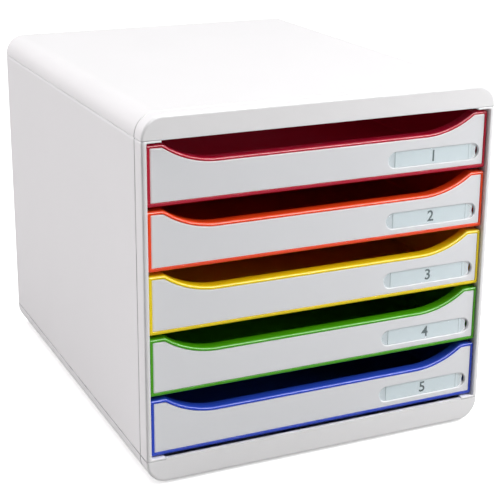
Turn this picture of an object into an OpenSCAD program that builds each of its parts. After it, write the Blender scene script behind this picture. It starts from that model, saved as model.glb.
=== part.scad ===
// Desktop drawer tower: a moulded casing with five slide-out drawers for A4+ papers or small parts.
// Axes: X to the right, Y to the back, Z up. The origin is the middle of the footprint, on the
// surface that the feet stand on. The drawers are numbered from the top down.

/* [Casing] */
// Width over both side panels
case_w = 278; // [250:1:310]
// Depth from the front face to the back face
case_d = 347; // [325:1:380]
// Radius of the four long corners
corner_r = 16; // [10:0.5:16.5]
// Radius round the front and back edges
edge_r = 2; // [0.8:0.1:2]
// Wall thickness of the covers and side panels
wall = 2.6; // [2:0.1:3]
// Height of the top cover, which is also the upper front rail
top_h = 17; // [16.5:0.5:28]
// Height of the base cover, which is also the lower front rail
base_h = 18; // [16.5:0.5:28]
// Width of a side panel's upright front edge
jamb_w = 3.8; // [3.2:0.1:4.5]
// How far the upright front edge reaches back at that width
jamb_d = 8; // [4:0.5:10]
// Width of the flanges that the covers sit on, from the outside of the casing
flange_w = 14.5; // [13.5:0.5:20]
// Thickness of those flanges
flange_t = 1.4; // [1:0.1:2]
// Fillet between a flange and the side panel
flange_fillet = 1; // [0.5:0.1:1.2]
// Width of the upright strips that frame the back opening
back_strip_w = 14; // [11:0.5:20]

/* [Casing details] */
// Distance from the front face to the groove round the casing
groove_y = 13; // [9:0.5:20]
// Width of that groove
groove_w = 1.2; // [0.5:0.1:1.5]
// Depth of that groove
groove_deep = 0.7; // [0.3:0.1:1]
// Height of the shadow line along each cover's rim
reveal_h = 0.4; // [0.2:0.1:0.8]
// Depth of that shadow line
reveal_deep = 0.5; // [0.2:0.1:0.8]
// How far the base cover's front rail rises between the flanges
rim_lift = 0.9; // [0.3:0.1:0.9]
// Rounding of that raised rim
rim_round = 0.3; // [0.1:0.1:0.5]
// Gap between the raised rim and the flanges beside it
rim_fit = 0.3; // [0.2:0.1:0.6]
// Thickness of the stiffening ribs inside the covers
rib_t = 1.6; // [1:0.1:2.5]
// Height of those ribs
rib_h = 6; // [3:0.5:9]
// Spacing of the ribs that run front to back
rib_pitch_x = 69; // [50:1:80]
// Spacing of the ribs that run side to side
rib_pitch_y = 86; // [60:1:100]
// Radius of the locating pegs moulded in the covers
peg_r = 2; // [1.5:0.1:2.5]
// Radius of the boss that each peg stands on
peg_boss_r = 3.4; // [3:0.1:4]
// Distance of the pegs from the outside of the casing
peg_inset = 8.6; // [8:0.1:9]
// Distance of the outer pegs from the front and back faces
peg_end = 32; // [25:1:60]
// Radial clearance of a peg in its hole
peg_fit = 0.15; // [0.05:0.05:0.3]

/* [Feet] */
// Radius of a foot
foot_r = 8; // [6:0.5:10]
// How far a foot stands proud of the base cover
foot_h = 2; // [1.5:0.5:4]
// Depth of the round recess that holds a foot
foot_sink = 1; // [0.5:0.1:1.5]
// Distance of a foot's centre from the outside of the casing, sideways and lengthways
foot_inset = 30; // [26:1:45]
// Rounding of a foot's lower rim
foot_round = 0.8; // [0.4:0.1:1.2]
// Clearance round a foot in its recess
foot_fit = 0.2; // [0.1:0.1:0.4]

/* [Drawer fronts] */
// Spacing of the drawers
pitch = 46.3; // [45.5:0.1:60]
// Height of a drawer front
front_h = 43.4; // [40:0.1:43.8]
// Distance of the drawer fronts behind the casing's front face
recess = 2.6; // [1:0.1:5]
// Gap between a drawer front and the upright edges beside it
side_gap = 0.8; // [0.8:0.1:2]
// Gap between the lowest drawer and the flange below it
under_gap = 0.8; // [0.6:0.1:1.5]
// Gap between the top drawer and the flange above it
over_gap = 1.8; // [1:0.1:3]
// Thickness of the moulded front, with the panel's recess
front_t = 4.4; // [3.8:0.1:6]
// Width of the coloured border beside the panel
border_side = 2.3; // [1.5:0.1:4]
// Width of the coloured border below the panel
border_low = 2.8; // [1.5:0.1:4]
// Width of the coloured border above the panel
border_top = 2.3; // [1.5:0.1:2.9]
// Corner radius of a drawer front
front_round = 1.2; // [0.6:0.1:2]
// Corner radius of the panel and of its recess
panel_round = 0.6; // [0.3:0.1:1]
// How deep the grip scoop dips
scoop_drop = 13.3; // [8:0.1:18]
// Length of the scoop's straight bottom
scoop_flat = 164; // [100:1:180]
// Radius of the scoop's rising ends
scoop_r = 68; // [40:1:80]
// Radius of the shoulders at the top of the scoop
shoulder_r = 3.6; // [3:0.1:5]
// Depth of the rolled lip, front to back
lip_d = 9; // [6:0.5:10]
// Thickness of the lip
lip_t = 2; // [1.4:0.1:2.3]
// Height of the webs that brace the lip against the front wall
gusset_h = 7; // [4:0.5:10]
// Spacing of those webs
gusset_pitch = 33; // [20:1:35]

/* [Front panel and label] */
// Depth of the recess that holds the panel
panel_sink = 2.4; // [1.8:0.1:3]
// How far the panel lies behind the border
panel_back = 0.2; // [0:0.1:0.6]
// Clearance round the panel
panel_fit = 0.15; // [0.1:0.05:0.3]
// Height of the raised field on the panel's face
panel_step = 0.4; // [0.2:0.1:0.6]
// Distance of the raised field from the panel's edge
panel_bevel = 0.6; // [0.3:0.1:1]
// Length of the label window's recess
label_l = 77.8; // [50:0.5:84]
// Height of the label window's recess
label_h = 12.6; // [8:0.2:15]
// Depth of the label window's recess
label_sink = 1.4; // [1.2:0.1:1.6]
// Distance from the label recess to the end of the drawer front
label_end = 5.8; // [4:0.1:20]
// Height of the label's middle above the drawer front's lower edge
label_z = 13.4; // [11:0.1:16]
// Length of the paper slip
slip_l = 65; // [40:1:68]
// Thickness of the paper slip
slip_t = 0.25; // [0.1:0.05:0.4]
// Thickness of the clear window
window_t = 0.9; // [0.6:0.1:1]
// Clearance round the window and the slip
window_fit = 0.2; // [0.1:0.1:0.4]
// Width of the crescent slot at the window's right end
crescent_w = 2; // [1.4:0.1:3]
// Height of the crescent slot
crescent_h = 6.4; // [4:0.1:8]

/* [Drawer trays] */
// Wall thickness of a tray
tray_wall = 1.8; // [1.4:0.1:2.5]
// How far the tray's sides stand in from the ends of the front
tray_inset = 1.9; // [1.5:0.1:2.2]
// Height of the tray's side and back walls
tray_h = 41.2; // [30:0.1:41.5]
// Space between the tray's back wall and the outside of the casing's back
tray_back_gap = 10; // [9.5:0.5:20]
// Radius of the tray's back corners
tray_round = 5; // [3:0.5:10]
// Width of the skids that the tray slides on
skid_w = 3; // [2:0.1:3.4]
// Running gap below the skids
run_gap = 0.3; // [0.2:0.1:0.4]
// How far a drawer slides out
travel = 280; // [200:1:285]

/* [Runners and stops] */
// Width of the ledges that carry the drawers
ledge_w = 8.4; // [7.5:0.1:9.5]
// Thickness of the ledges
ledge_t = 2; // [1.4:0.1:2.3]
// Length of the taper at a ledge's front end
ledge_taper = 8; // [4:0.5:12]
// How far the taper cuts back the ledge's width
ledge_cut = 4; // [2:0.1:5]
// Clearance between a closed drawer's lip and the stops behind it
close_gap = 0.6; // [0.3:0.1:2]
// Length of the stop nib on a side panel
nib_l = 4; // [3:0.5:6]
// Height of the stop nib and of the stop lug on the tray
stop_h = 4.5; // [3:0.5:6]
// Side clearance of a stop nib beside the tray, and of a stop lug beside the side panel
stop_gap = 0.8; // [0.5:0.1:1]
// Length of a stop lug
lug_l = 5; // [3:0.5:8]
// Gap left between nib and lug at full travel
stop_rest = 0.5; // [0.3:0.1:1]

/* [Back panel] */
// Thickness of the back panel's sheet
back_t = 2; // [1.5:0.1:2.2]
// Clearance round the back panel
back_fit = 0.4; // [0.3:0.1:0.6]
// Clearance between the back panel's raised field and the opening's edges
back_gap = 0.5; // [0.3:0.1:0.8]
// Depth of the channel that the panel's edge stands in
channel_w = 5; // [3:0.5:8]
// Depth of the stiffening beads pressed in the back panel
bead_deep = 0.8; // [0.4:0.1:1.2]
// Height of each bead
bead_h = 6; // [4:0.5:10]
// Distance of the beads' ends from the sides of the raised field
bead_end = 24; // [10:1:60]

/* [Hidden] */
$fn = 96;
drawers = 5;
TRAY_COLORS = ["#a61834", "#e8481e", "#e6c60c", "#3f8f10", "#2f4fb4"];
CASE_COLOR = "#e9e9ea";
PANEL_COLOR = "#dcdde0";
cut = 1;                                    // how far a cutting body runs past the face that it cuts
bond = 0.4;                                 // how far a rib or block runs into the wall that carries it

half_w = case_w / 2;
front_y = -case_d / 2;
back_y = case_d / 2;
inner_x = half_w - wall;                    // inner face of a side panel
jamb_x = half_w - jamb_w;
flange_x = half_w - flange_w;

low_z = foot_h + base_h;                    // parting plane between base cover and side panels
first_z = low_z + flange_t + under_gap;     // underside of the lowest drawer
high_z = first_z + (drawers - 1) * pitch + front_h + over_gap + flange_t;
side_h = high_z - low_z;

front_half = jamb_x - side_gap;
drawer_y = front_y + recess;                // front face of a closed drawer
tray_half = front_half - tray_inset;
tray_l = back_y - tray_back_gap - drawer_y;
valley_z = front_h - scoop_drop;
label_x = front_half - label_end - label_l / 2;
panel_t = panel_sink - panel_back;

ledge_x = inner_x - ledge_w;
ledge_y = drawer_y + lip_d + close_gap;
ledge_end_y = back_y - wall - 2 * back_fit - back_t - bond;
nib_x = tray_half + stop_gap;
stop_z = tray_h - stop_h;
lug_y = ledge_y + nib_l + stop_rest + travel - drawer_y;

// Underside of drawer n, counted from the top
function drawer_z(n) = first_z + (drawers - n) * pitch;

// Rectangle centred on X and Y with round corners
module soft_rect(w, d, r) {
    square([w - 2 * r, d], center = true);
    square([w, d - 2 * r], center = true);
    for (x = [-1, 1], y = [-1, 1])
        translate([x * (w / 2 - r), y * (d / 2 - r)]) circle(r);
}

// Rectangle that stands on the X axis with its two upper corners rounded
module crown(w, h, r, below = 0) {
    translate([-w / 2, -below]) square([w, h - r + below]);
    translate([r - w / 2, -below]) square([w - 2 * r, h + below]);
    for (x = [-1, 1]) translate([x * (w / 2 - r), h - r]) circle(r);
}

// Long slot shape with half-round ends
module stadium(l, h) {
    square([l - h, h], center = true);
    for (x = [-1, 1]) translate([x * (l - h) / 2, 0]) circle(h / 2);
}

// Lays a flat X-Z outline along Y, from y to y + d
module along_y(y, d) {
    translate([0, y + d, 0]) rotate([90, 0, 0]) linear_extrude(d) children();
}

// ---- covers ----

// Outer form of a cover that stands on its rim: flat middle, two quarter turns and two short skirts
module cover_form(h, r) {
    rotate([90, 0, 90]) linear_extrude(case_w - 2 * r, center = true) crown(case_d, h, edge_r);
    for (side = [-1, 1]) {
        translate([side * (half_w - r), 0, h - r]) rotate([90, 0, 0])
            rotate([0, 0, side > 0 ? 0 : 90]) rotate_extrude(angle = 90) intersection() {
                soft_rect(2 * r, case_d, edge_r);
                translate([0, front_y]) square([r, case_d]);
            }
        linear_extrude(h - r) intersection() {
            soft_rect(case_w, case_d, edge_r);
            translate([side * (half_w - r / 2), 0]) square([r, case_d], center = true);
        }
    }
}

// Cross-section of a cover, reduced by a wall thickness or a groove depth
module cover_section(h, r, inset, below = 0) {
    crown(case_w - 2 * inset, h - inset, r - inset, below);
}

// Places what follows at each locating peg
module at_pegs() {
    peg_y = case_d / 2 - peg_end;
    for (x = [-1, 1], y = [-peg_y, 0, peg_y])
        translate([x * (half_w - peg_inset), y, 0]) children();
}

// A moulded cover with its parting plane at z = 0, open below, with ribs and pegs inside
module cover(h) {
    r = min(corner_r, h - bond);
    difference() {
        cover_form(h, r);
        along_y(front_y + wall, case_d - 2 * wall) cover_section(h, r, wall, cut);
        along_y(front_y + groove_y, groove_w) difference() {
            translate([0, h / 2]) square([case_w + 2 * cut, h + 2 * cut], center = true);
            cover_section(h, r, groove_deep, cut);
        }
        translate([0, 0, -cut]) linear_extrude(reveal_h + cut) difference() {
            square([case_w + cut, case_d + cut], center = true);
            soft_rect(case_w - 2 * reveal_deep, case_d - 2 * reveal_deep, edge_r);
        }
    }
    rib_z = h - wall - rib_h;
    for (x = [-1, 0, 1])
        translate([x * rib_pitch_x - rib_t / 2, front_y + wall - bond, rib_z])
            cube([rib_t, case_d - 2 * (wall - bond), rib_h + bond]);
    rib_l = case_w - 2 * corner_r;
    for (y = [-1, 0, 1])
        translate([-rib_l / 2, y * rib_pitch_y - rib_t / 2, rib_z]) cube([rib_l, rib_t, rib_h + bond]);
    intersection() {
        at_pegs() cylinder(r = peg_boss_r, h = h);
        along_y(front_y + wall, case_d - 2 * wall) cover_section(h, r, wall - bond);
    }
    at_pegs() translate([0, 0, -flange_t]) cylinder(r = peg_r, h = flange_t + bond);
}

module top_cover() {
    color(CASE_COLOR) translate([0, 0, high_z]) cover(top_h);
}

// Raised rim of the base cover's front rail, between the two side panels' flanges
module front_rim() {
    translate([0, front_y + wall / 2, low_z]) rotate([90, 0, 90])
        linear_extrude(2 * (flange_x - rim_fit), center = true)
            crown(wall, rim_lift, min(rim_round, rim_lift), reveal_h + bond);
}

module base_cover() {
    color(CASE_COLOR) difference() {
        union() {
            translate([0, 0, low_z]) mirror([0, 0, 1]) cover(base_h);
            front_rim();
        }
        for (x = [-1, 1], y = [-1, 1])
            translate([x * (half_w - foot_inset), y * (back_y - foot_inset), foot_h - cut])
                cylinder(r = foot_r + foot_fit, h = foot_sink + cut);
    }
}

// ---- side panels ----

// The ledge that carries one drawer, seen from above, with a tapered lead-in at the front
module ledge_plan() {
    polygon([
        [inner_x + bond, ledge_y], [inner_x + bond, ledge_end_y],
        [ledge_x, ledge_end_y], [ledge_x, ledge_y + ledge_taper], [ledge_x + ledge_cut, ledge_y]
    ]);
}

// Right-hand side panel: wall, upright front edge, back strip, flanges, ledges, stops and channel
module side_panel() {
    difference() {
        union() {
            translate([0, 0, low_z]) linear_extrude(side_h) intersection() {
                soft_rect(case_w, case_d, edge_r);
                union() {
                    translate([inner_x, front_y]) square([wall, case_d]);
                    translate([jamb_x, front_y]) square([jamb_w, jamb_d]);
                    translate([half_w - back_strip_w, back_y - wall]) square([back_strip_w, wall]);
                }
            }
            for (z = [low_z, high_z - flange_t]) translate([0, 0, z]) linear_extrude(flange_t)
                intersection() {
                    soft_rect(case_w, case_d, edge_r);
                    translate([flange_x, front_y]) square([flange_w, case_d]);
                }
            fillet_bar();
            for (n = [1 : drawers - 1]) translate([0, 0, drawer_z(n) - under_gap - ledge_t])
                linear_extrude(ledge_t) ledge_plan();
            for (n = [1 : drawers])
                translate([nib_x, ledge_y, drawer_z(n) + stop_z])
                    cube([inner_x + bond - nib_x, nib_l, stop_h]);
            channel_bar();
        }
        translate([half_w - groove_deep, front_y + groove_y, low_z - cut])
            cube([groove_deep + cut, groove_w, side_h + 2 * cut]);
        for (z = [low_z, high_z - flange_t]) translate([0, 0, z - cut]) at_pegs()
            cylinder(r = peg_r + peg_fit, h = flange_t + 2 * cut);
    }
}

// Fillets where the flanges meet the upright front edge
module fillet_bar() {
    along_y(front_y, jamb_d) for (end = [0, 1])
        translate([0, end == 0 ? low_z + flange_t : high_z - flange_t]) mirror([0, end]) difference() {
            translate([jamb_x - flange_fillet, -bond])
                square([flange_fillet + bond, flange_fillet + bond]);
            translate([jamb_x - flange_fillet, flange_fillet]) circle(flange_fillet);
        }
}

// Upright rib that holds the back panel against the back strip
module channel_bar() {
    y = back_y - wall - 2 * back_fit - back_t - rib_t;
    translate([inner_x - channel_w, y, low_z]) cube([channel_w + bond, rib_t, side_h]);
}

module right_side() {
    color(CASE_COLOR) side_panel();
}

module left_side() {
    color(CASE_COLOR) mirror([1, 0, 0]) side_panel();
}

// ---- back panel and feet ----

// Hat-shaped sheet: its edge stands in the side panels' channels and its raised field fills the opening
module back_panel() {
    edge_half = inner_x - back_fit;
    field_half = half_w - max(back_strip_w, flange_w) - back_gap;
    sheet_y = back_y - wall - back_fit;
    lower = low_z + flange_t + back_fit;
    upper = high_z - flange_t - back_fit;
    field_h = side_h - 2 * back_gap;
    field_z = low_z + back_gap;
    color(CASE_COLOR) difference() {
        union() {
            translate([-edge_half, sheet_y - back_t, lower]) cube([2 * edge_half, back_t, upper - lower]);
            translate([-field_half, sheet_y - back_t, field_z])
                cube([2 * field_half, back_y - back_fit - sheet_y + back_t, field_h]);
        }
        translate([back_t - field_half, sheet_y - back_t - cut, field_z + back_t])
            cube([2 * (field_half - back_t), back_y - back_fit - sheet_y + cut, field_h - 2 * back_t]);
        for (n = [1 : drawers]) along_y(back_y - back_fit - bead_deep, bead_deep + cut)
            translate([0, drawer_z(n) + front_h / 2]) stadium(2 * (field_half - bead_end), bead_h);
    }
}

// Soft round foot with a rounded lower rim, seated in the base cover's recess
module foot(x, y) {
    color("#3c3d40") translate([x * (half_w - foot_inset), y * (back_y - foot_inset), 0])
        rotate_extrude() {
            square([foot_r - foot_round, foot_round]);
            translate([0, foot_round]) square([foot_r, foot_h + foot_sink - foot_round]);
            intersection() {
                translate([foot_r - foot_round, foot_round]) circle(foot_round);
                square(foot_r);
            }
        }
}

module foot_front_left() { foot(-1, -1); }
module foot_front_right() { foot(1, -1); }
module foot_back_left() { foot(-1, 1); }
module foot_back_right() { foot(1, 1); }

// ---- drawers ----

// Region that the grip scoop removes, in X-Z, for an outline that lies inset below the outer one
module scoop(inset) {
    centre_z = valley_z + scoop_r;
    drop_z = centre_z - (front_h - shoulder_r);
    reach = sqrt(pow(scoop_r + shoulder_r, 2) - pow(drop_z, 2));
    shoulder_x = scoop_flat / 2 + reach;
    share = (shoulder_r - inset) / (scoop_r + shoulder_r);
    translate([-scoop_flat / 2, valley_z - inset]) square([scoop_flat, scoop_drop + inset + cut]);
    for (side = [0, 1]) mirror([side, 0]) {
        translate([scoop_flat / 2, centre_z]) circle(scoop_r + inset);
        difference() {
            polygon([
                [shoulder_x, front_h - shoulder_r], [shoulder_x, front_h + cut],
                [shoulder_x - share * reach, front_h + cut],
                [shoulder_x - share * reach, front_h - shoulder_r + share * drop_z]
            ]);
            translate([shoulder_x, front_h - shoulder_r]) circle(shoulder_r - inset);
        }
    }
}

// Outline of a drawer front, reduced at its sides, bottom and top
module front_outline(side, low, top, r) {
    h = front_h - low - top;
    difference() {
        translate([0, low + h / 2]) soft_rect(2 * (front_half - side), h, r);
        scoop(top);
    }
}

// Tray seen from above, reduced by a wall thickness, and open at the front when it is reduced
module tray_plan(inset) {
    end_y = tray_l - inset;
    w = 2 * (tray_half - inset);
    r = tray_round - inset;
    translate([-w / 2, front_t - bond]) square([w, end_y - r - front_t + bond]);
    translate([r - w / 2, front_t - bond]) square([w - 2 * r, end_y - front_t + bond]);
    for (x = [-1, 1]) translate([x * (w / 2 - r), end_y - r]) circle(r);
}

// Moulded drawer: bordered front with its panel recess, rolled lip, tray, skids, gussets and stop lugs
module tray_body() {
    difference() {
        union() {
            along_y(0, front_t) front_outline(0, 0, 0, front_round);
            along_y(0, lip_d) difference() {
                front_outline(0, 0, 0, front_round);
                front_outline(lip_t, -cut, lip_t, panel_round);
            }
        }
        along_y(-cut, panel_sink + cut)
            front_outline(border_side, border_low, border_top, panel_round);
        translate([label_x, 0, label_z]) along_y(0, front_t + cut) crescent(bond);
    }
    linear_extrude(tray_wall) tray_plan(0);
    difference() {
        linear_extrude(tray_h) tray_plan(0);
        translate([0, -cut, -cut]) linear_extrude(tray_h + 2 * cut) union() {
            tray_plan(tray_wall);
            translate([-tray_half + tray_wall, 0]) square([2 * (tray_half - tray_wall), front_t + 2 * cut]);
        }
    }
    skid_h = under_gap - run_gap;
    for (side = [0, 1]) mirror([side, 0, 0]) {
        translate([tray_half - tray_wall / 2 - skid_w, front_t, -skid_h])
            cube([skid_w, tray_l - tray_round - front_t, skid_h + bond]);
        translate([tray_half - bond, lug_y, stop_z])
            cube([inner_x - stop_gap - tray_half + bond, lug_l, stop_h]);
    }
    gussets();
}

// Small triangular webs that brace the lip against the front wall
module gussets() {
    for (x = [-2 : 2]) translate([x * gusset_pitch - rib_t / 2, 0, valley_z - lip_t])
        rotate([90, 0, 90]) linear_extrude(rib_t)
            polygon([[front_t - bond, bond], [lip_d, bond], [lip_d, 0], [front_t - bond, -gusset_h]]);
}

// Crescent slot at the right-hand end of the label recess, centred on the recess
module crescent(inset) {
    end_x = (label_l - label_h) / 2;
    difference() {
        translate([end_x, 0]) circle(label_h / 2 - inset);
        translate([end_x - crescent_w, 0]) circle(label_h / 2 - inset);
        for (z = [-1, 1]) translate([end_x, z * (label_h + crescent_h) / 2])
            square([label_h, label_h], center = true);
    }
}

// Light front panel with a raised field, the label recess and the crescent slot
module front_panel() {
    rim = border_side + panel_fit;
    difference() {
        union() {
            along_y(panel_back + panel_step, panel_t - panel_step) front_outline(
                rim, border_low + panel_fit, border_top + panel_fit, panel_round);
            along_y(panel_back, panel_step + bond) front_outline(rim + panel_bevel,
                border_low + panel_fit + panel_bevel, border_top + panel_fit + panel_bevel,
                panel_round);
        }
        translate([label_x, 0, label_z]) {
            along_y(panel_back - cut, label_sink + cut) stadium(label_l, label_h);
            along_y(0, panel_sink + cut) crescent(bond);
        }
    }
}

// Paper slip on the floor of the label recess
module label_slip() {
    translate([label_x - slip_l / 2, panel_back + label_sink - slip_t, label_z - label_h / 2 + window_fit])
        cube([slip_l, slip_t, label_h - 2 * window_fit]);
}

// Clear window in front of the slip, short of the crescent slot
module label_window() {
    l = label_l - crescent_w - 2 * window_fit;
    translate([label_x - crescent_w / 2, 0, label_z])
        along_y(panel_back + label_sink - slip_t - window_t, window_t)
            stadium(l, label_h - 2 * window_fit);
}

module drawer_tray(n) {
    color(TRAY_COLORS[n - 1]) translate([0, drawer_y, drawer_z(n)]) tray_body();
}

module drawer_front(n) {
    color(PANEL_COLOR) translate([0, drawer_y, drawer_z(n)]) front_panel();
}

module drawer_slip(n) {
    color("#dbe6e8") translate([0, drawer_y, drawer_z(n)]) label_slip();
}

module drawer_window(n) {
    color("#cfdfe2", 0.4) translate([0, drawer_y, drawer_z(n)]) label_window();
}

top_cover();
base_cover();
left_side();
right_side();
back_panel();
foot_front_left();
foot_front_right();
foot_back_left();
foot_back_right();
drawer_tray(1);  // drawer_1_tray
drawer_front(1);  // drawer_1_front
drawer_slip(1);  // drawer_1_slip
drawer_window(1);  // drawer_1_window
drawer_tray(2);  // drawer_2_tray
drawer_front(2);  // drawer_2_front
drawer_slip(2);  // drawer_2_slip
drawer_window(2);  // drawer_2_window
drawer_tray(3);  // drawer_3_tray
drawer_front(3);  // drawer_3_front
drawer_slip(3);  // drawer_3_slip
drawer_window(3);  // drawer_3_window
drawer_tray(4);  // drawer_4_tray
drawer_front(4);  // drawer_4_front
drawer_slip(4);  // drawer_4_slip
drawer_window(4);  // drawer_4_window
drawer_tray(5);  // drawer_5_tray
drawer_front(5);  // drawer_5_front
drawer_slip(5);  // drawer_5_slip
drawer_window(5);  // drawer_5_window
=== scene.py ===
"""Desktop tower with five scooped drawers: finished surfaces, materials, studio and camera.

Every size is in metres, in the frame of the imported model: X to the right, Y to the back, Z up.
"""

import math

import bmesh
import bpy
import numpy as np
from mathutils import Matrix, Vector


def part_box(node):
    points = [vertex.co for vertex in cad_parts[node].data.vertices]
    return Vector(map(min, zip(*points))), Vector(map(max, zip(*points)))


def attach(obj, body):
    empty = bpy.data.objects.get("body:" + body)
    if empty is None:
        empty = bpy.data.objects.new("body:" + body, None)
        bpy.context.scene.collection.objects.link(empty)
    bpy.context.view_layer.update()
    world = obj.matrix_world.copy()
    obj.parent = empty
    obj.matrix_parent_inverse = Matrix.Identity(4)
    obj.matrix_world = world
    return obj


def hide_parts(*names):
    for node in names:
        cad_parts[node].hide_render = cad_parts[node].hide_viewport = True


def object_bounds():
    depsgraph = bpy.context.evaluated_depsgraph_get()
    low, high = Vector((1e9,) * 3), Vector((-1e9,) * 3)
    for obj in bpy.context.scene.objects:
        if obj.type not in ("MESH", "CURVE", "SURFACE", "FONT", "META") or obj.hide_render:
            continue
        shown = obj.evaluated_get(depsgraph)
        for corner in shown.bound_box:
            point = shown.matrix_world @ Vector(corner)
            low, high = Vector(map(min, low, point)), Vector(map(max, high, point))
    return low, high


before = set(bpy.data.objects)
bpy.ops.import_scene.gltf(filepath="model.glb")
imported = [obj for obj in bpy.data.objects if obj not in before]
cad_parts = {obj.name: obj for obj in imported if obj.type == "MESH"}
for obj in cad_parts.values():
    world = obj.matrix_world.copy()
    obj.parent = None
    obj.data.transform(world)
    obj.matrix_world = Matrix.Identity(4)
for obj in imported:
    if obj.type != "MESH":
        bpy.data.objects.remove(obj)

bl_info = {
    "name": "Drawer Tower",
    "version": (1, 0, 0),
    "blender": (4, 5, 0),
    "location": "3D View > Sidebar > Drawer Tower",
    "description": "Builds the surfaces and finishes of a desktop tower with scooped drawers",
    "category": "Mesh",
}

MM = 0.001
DRAWERS = (1, 2, 3, 4, 5)
PLASTICS = ("raspberry", "orange", "yellow", "green", "blue")
NUMBER, COLOR = "NodeSocketFloat", "NodeSocketColor"
# Distance within which a piece's points are welded.
WELD = 0.004 * MM
# How far a moulded part reaches into the wall that carries it.
BOND = 0.5 * MM
# Rounding of ribs, nibs, lugs and other small blocks.
NIB_ROUND = 0.3 * MM
CAD_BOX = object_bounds()


def tone(red, green, blue):
    """Linear colour of a screen colour that is given as three numbers from 0 to 255."""
    v = np.array([red, green, blue]) / 255
    return tuple(float(c) for c in np.where(v <= 0.04045, v / 12.92, ((v + 0.055) / 1.055) ** 2.4))


def length(name, description, value):
    """A size in millimetres as a property in metres."""
    return bpy.props.FloatProperty(
        name=name, description=description, default=value * MM, min=0.0, soft_max=0.4,
        precision=4, subtype="DISTANCE", unit="LENGTH",
    )


def color(name, description, value):
    """A colour that the user can change."""
    return bpy.props.FloatVectorProperty(
        name=name, description=description, default=tone(*value), min=0.0, max=1.0, size=3,
        subtype="COLOR",
    )


def strength(name, description, value):
    """The strength of a light, or another share without a unit."""
    return bpy.props.FloatProperty(name=name, description=description, default=value, min=0.0)


# ---------------------------------------------------------------- sizes and colours


class TowerCasingSizes(bpy.types.PropertyGroup):
    """Sizes of the casing's mouldings."""

    corner_radius: length("Corner radius", "Radius of the four long corners", 16)
    edge_radius: length("Edge radius", "Rounding of the front and back edges", 2)
    wall: length("Wall", "Thickness of the covers and side panels", 2.6)
    groove_place: length("Groove place", "Distance from the front face to the groove", 13)
    groove_width: length("Groove width", "Width of the groove round the casing", 1.2)
    groove_depth: length("Groove depth", "Depth of the groove round the casing", 0.7)
    groove_lip: length("Groove lip", "Width of the rounded lip on either side of the groove", 0.12)
    groove_slope: length("Groove slope", "Width of the slope on either side of its floor", 0.3)
    rim_step: length("Shadow line height", "Height of the shadow line at a cover's rim", 0.4)
    rim_depth: length("Shadow line depth", "Depth of the shadow line at a cover's rim", 0.5)
    rim_lift: length("Rail rise", "How far the base cover's rail rises between the flanges", 0.9)
    rim_fit: length("Rail gap", "Gap between that raised rim and the flanges", 0.3)
    wall_round: length("Wall rounding", "Rounding of a side panel's upper and lower edges", 0.8)
    rim_round: length("Rim rounding", "Rounding of the edges beside the shadow line", 0.35)
    jamb_width: length("Upright width", "Width of a side panel's front edge", 3.8)
    jamb_depth: length("Upright depth", "How far that width reaches back", 8)
    jamb_round: length("Upright rounding", "Rounding of that edge beside the drawers", 0.6)
    flange_width: length("Flange width", "Width of the flanges that the covers sit on", 14.5)
    flange_thickness: length("Flange thickness", "Thickness of those flanges", 1.4)
    flange_fillet: length("Flange fillet", "Fillet between flange and upright", 1.0)
    back_strip: length("Back strip", "Width of the strips beside the back opening", 14)
    rib: length("Rib thickness", "Thickness of the ribs in the covers", 1.6)
    rib_height: length("Rib height", "Height of the ribs in the covers", 6)
    rib_pitch_x: length("Rib spacing across", "Spacing of the ribs that run to the back", 69)
    rib_pitch_y: length("Rib spacing along", "Spacing of the ribs that run across", 86)
    ledge: length("Ledge width", "Width of the ledges that carry the drawers", 8.4)
    ledge_thickness: length("Ledge thickness", "Thickness of those ledges", 2)
    ledge_front: length("Ledge set-back", "Distance of ledges and stop nibs from the front", 12.2)
    ledge_back: length("Ledge end", "Distance of the ledges from the back", 5.8)
    ledge_taper: length("Ledge taper", "Length of the taper at a ledge's front", 8)
    ledge_cut: length("Ledge cut", "Depth of that taper", 4)
    nib: length("Stop nib", "Length of the stop nibs", 4)
    stop_gap: length("Stop gap", "Clearance of nibs beside a tray and of lugs beside a wall", 0.8)
    channel: length("Channel depth", "Depth of the channels that hold the back panel", 5)
    sheet: length("Back sheet", "Thickness of the back panel", 2)
    sheet_fit: length("Back clearance", "Clearance of the back panel in its channels", 0.4)
    sheet_gap: length("Back gap", "Gap round the back panel's raised field", 0.5)
    peg: length("Peg radius", "Radius of the covers' locating pegs", 2)
    boss: length("Boss radius", "Radius of the bosses that carry the pegs", 3.4)
    peg_inset: length("Peg inset", "Distance of the pegs from the casing's sides", 8.6)
    peg_end: length("Peg end distance", "Distance of the end pegs from front and back", 32)
    bead_depth: length("Bead depth", "Depth of the beads in the back panel", 0.8)
    bead_height: length("Bead height", "Height of the beads in the back panel", 6)
    bead_end: length("Bead end", "Distance of the beads' ends from the field's sides", 24)


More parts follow.
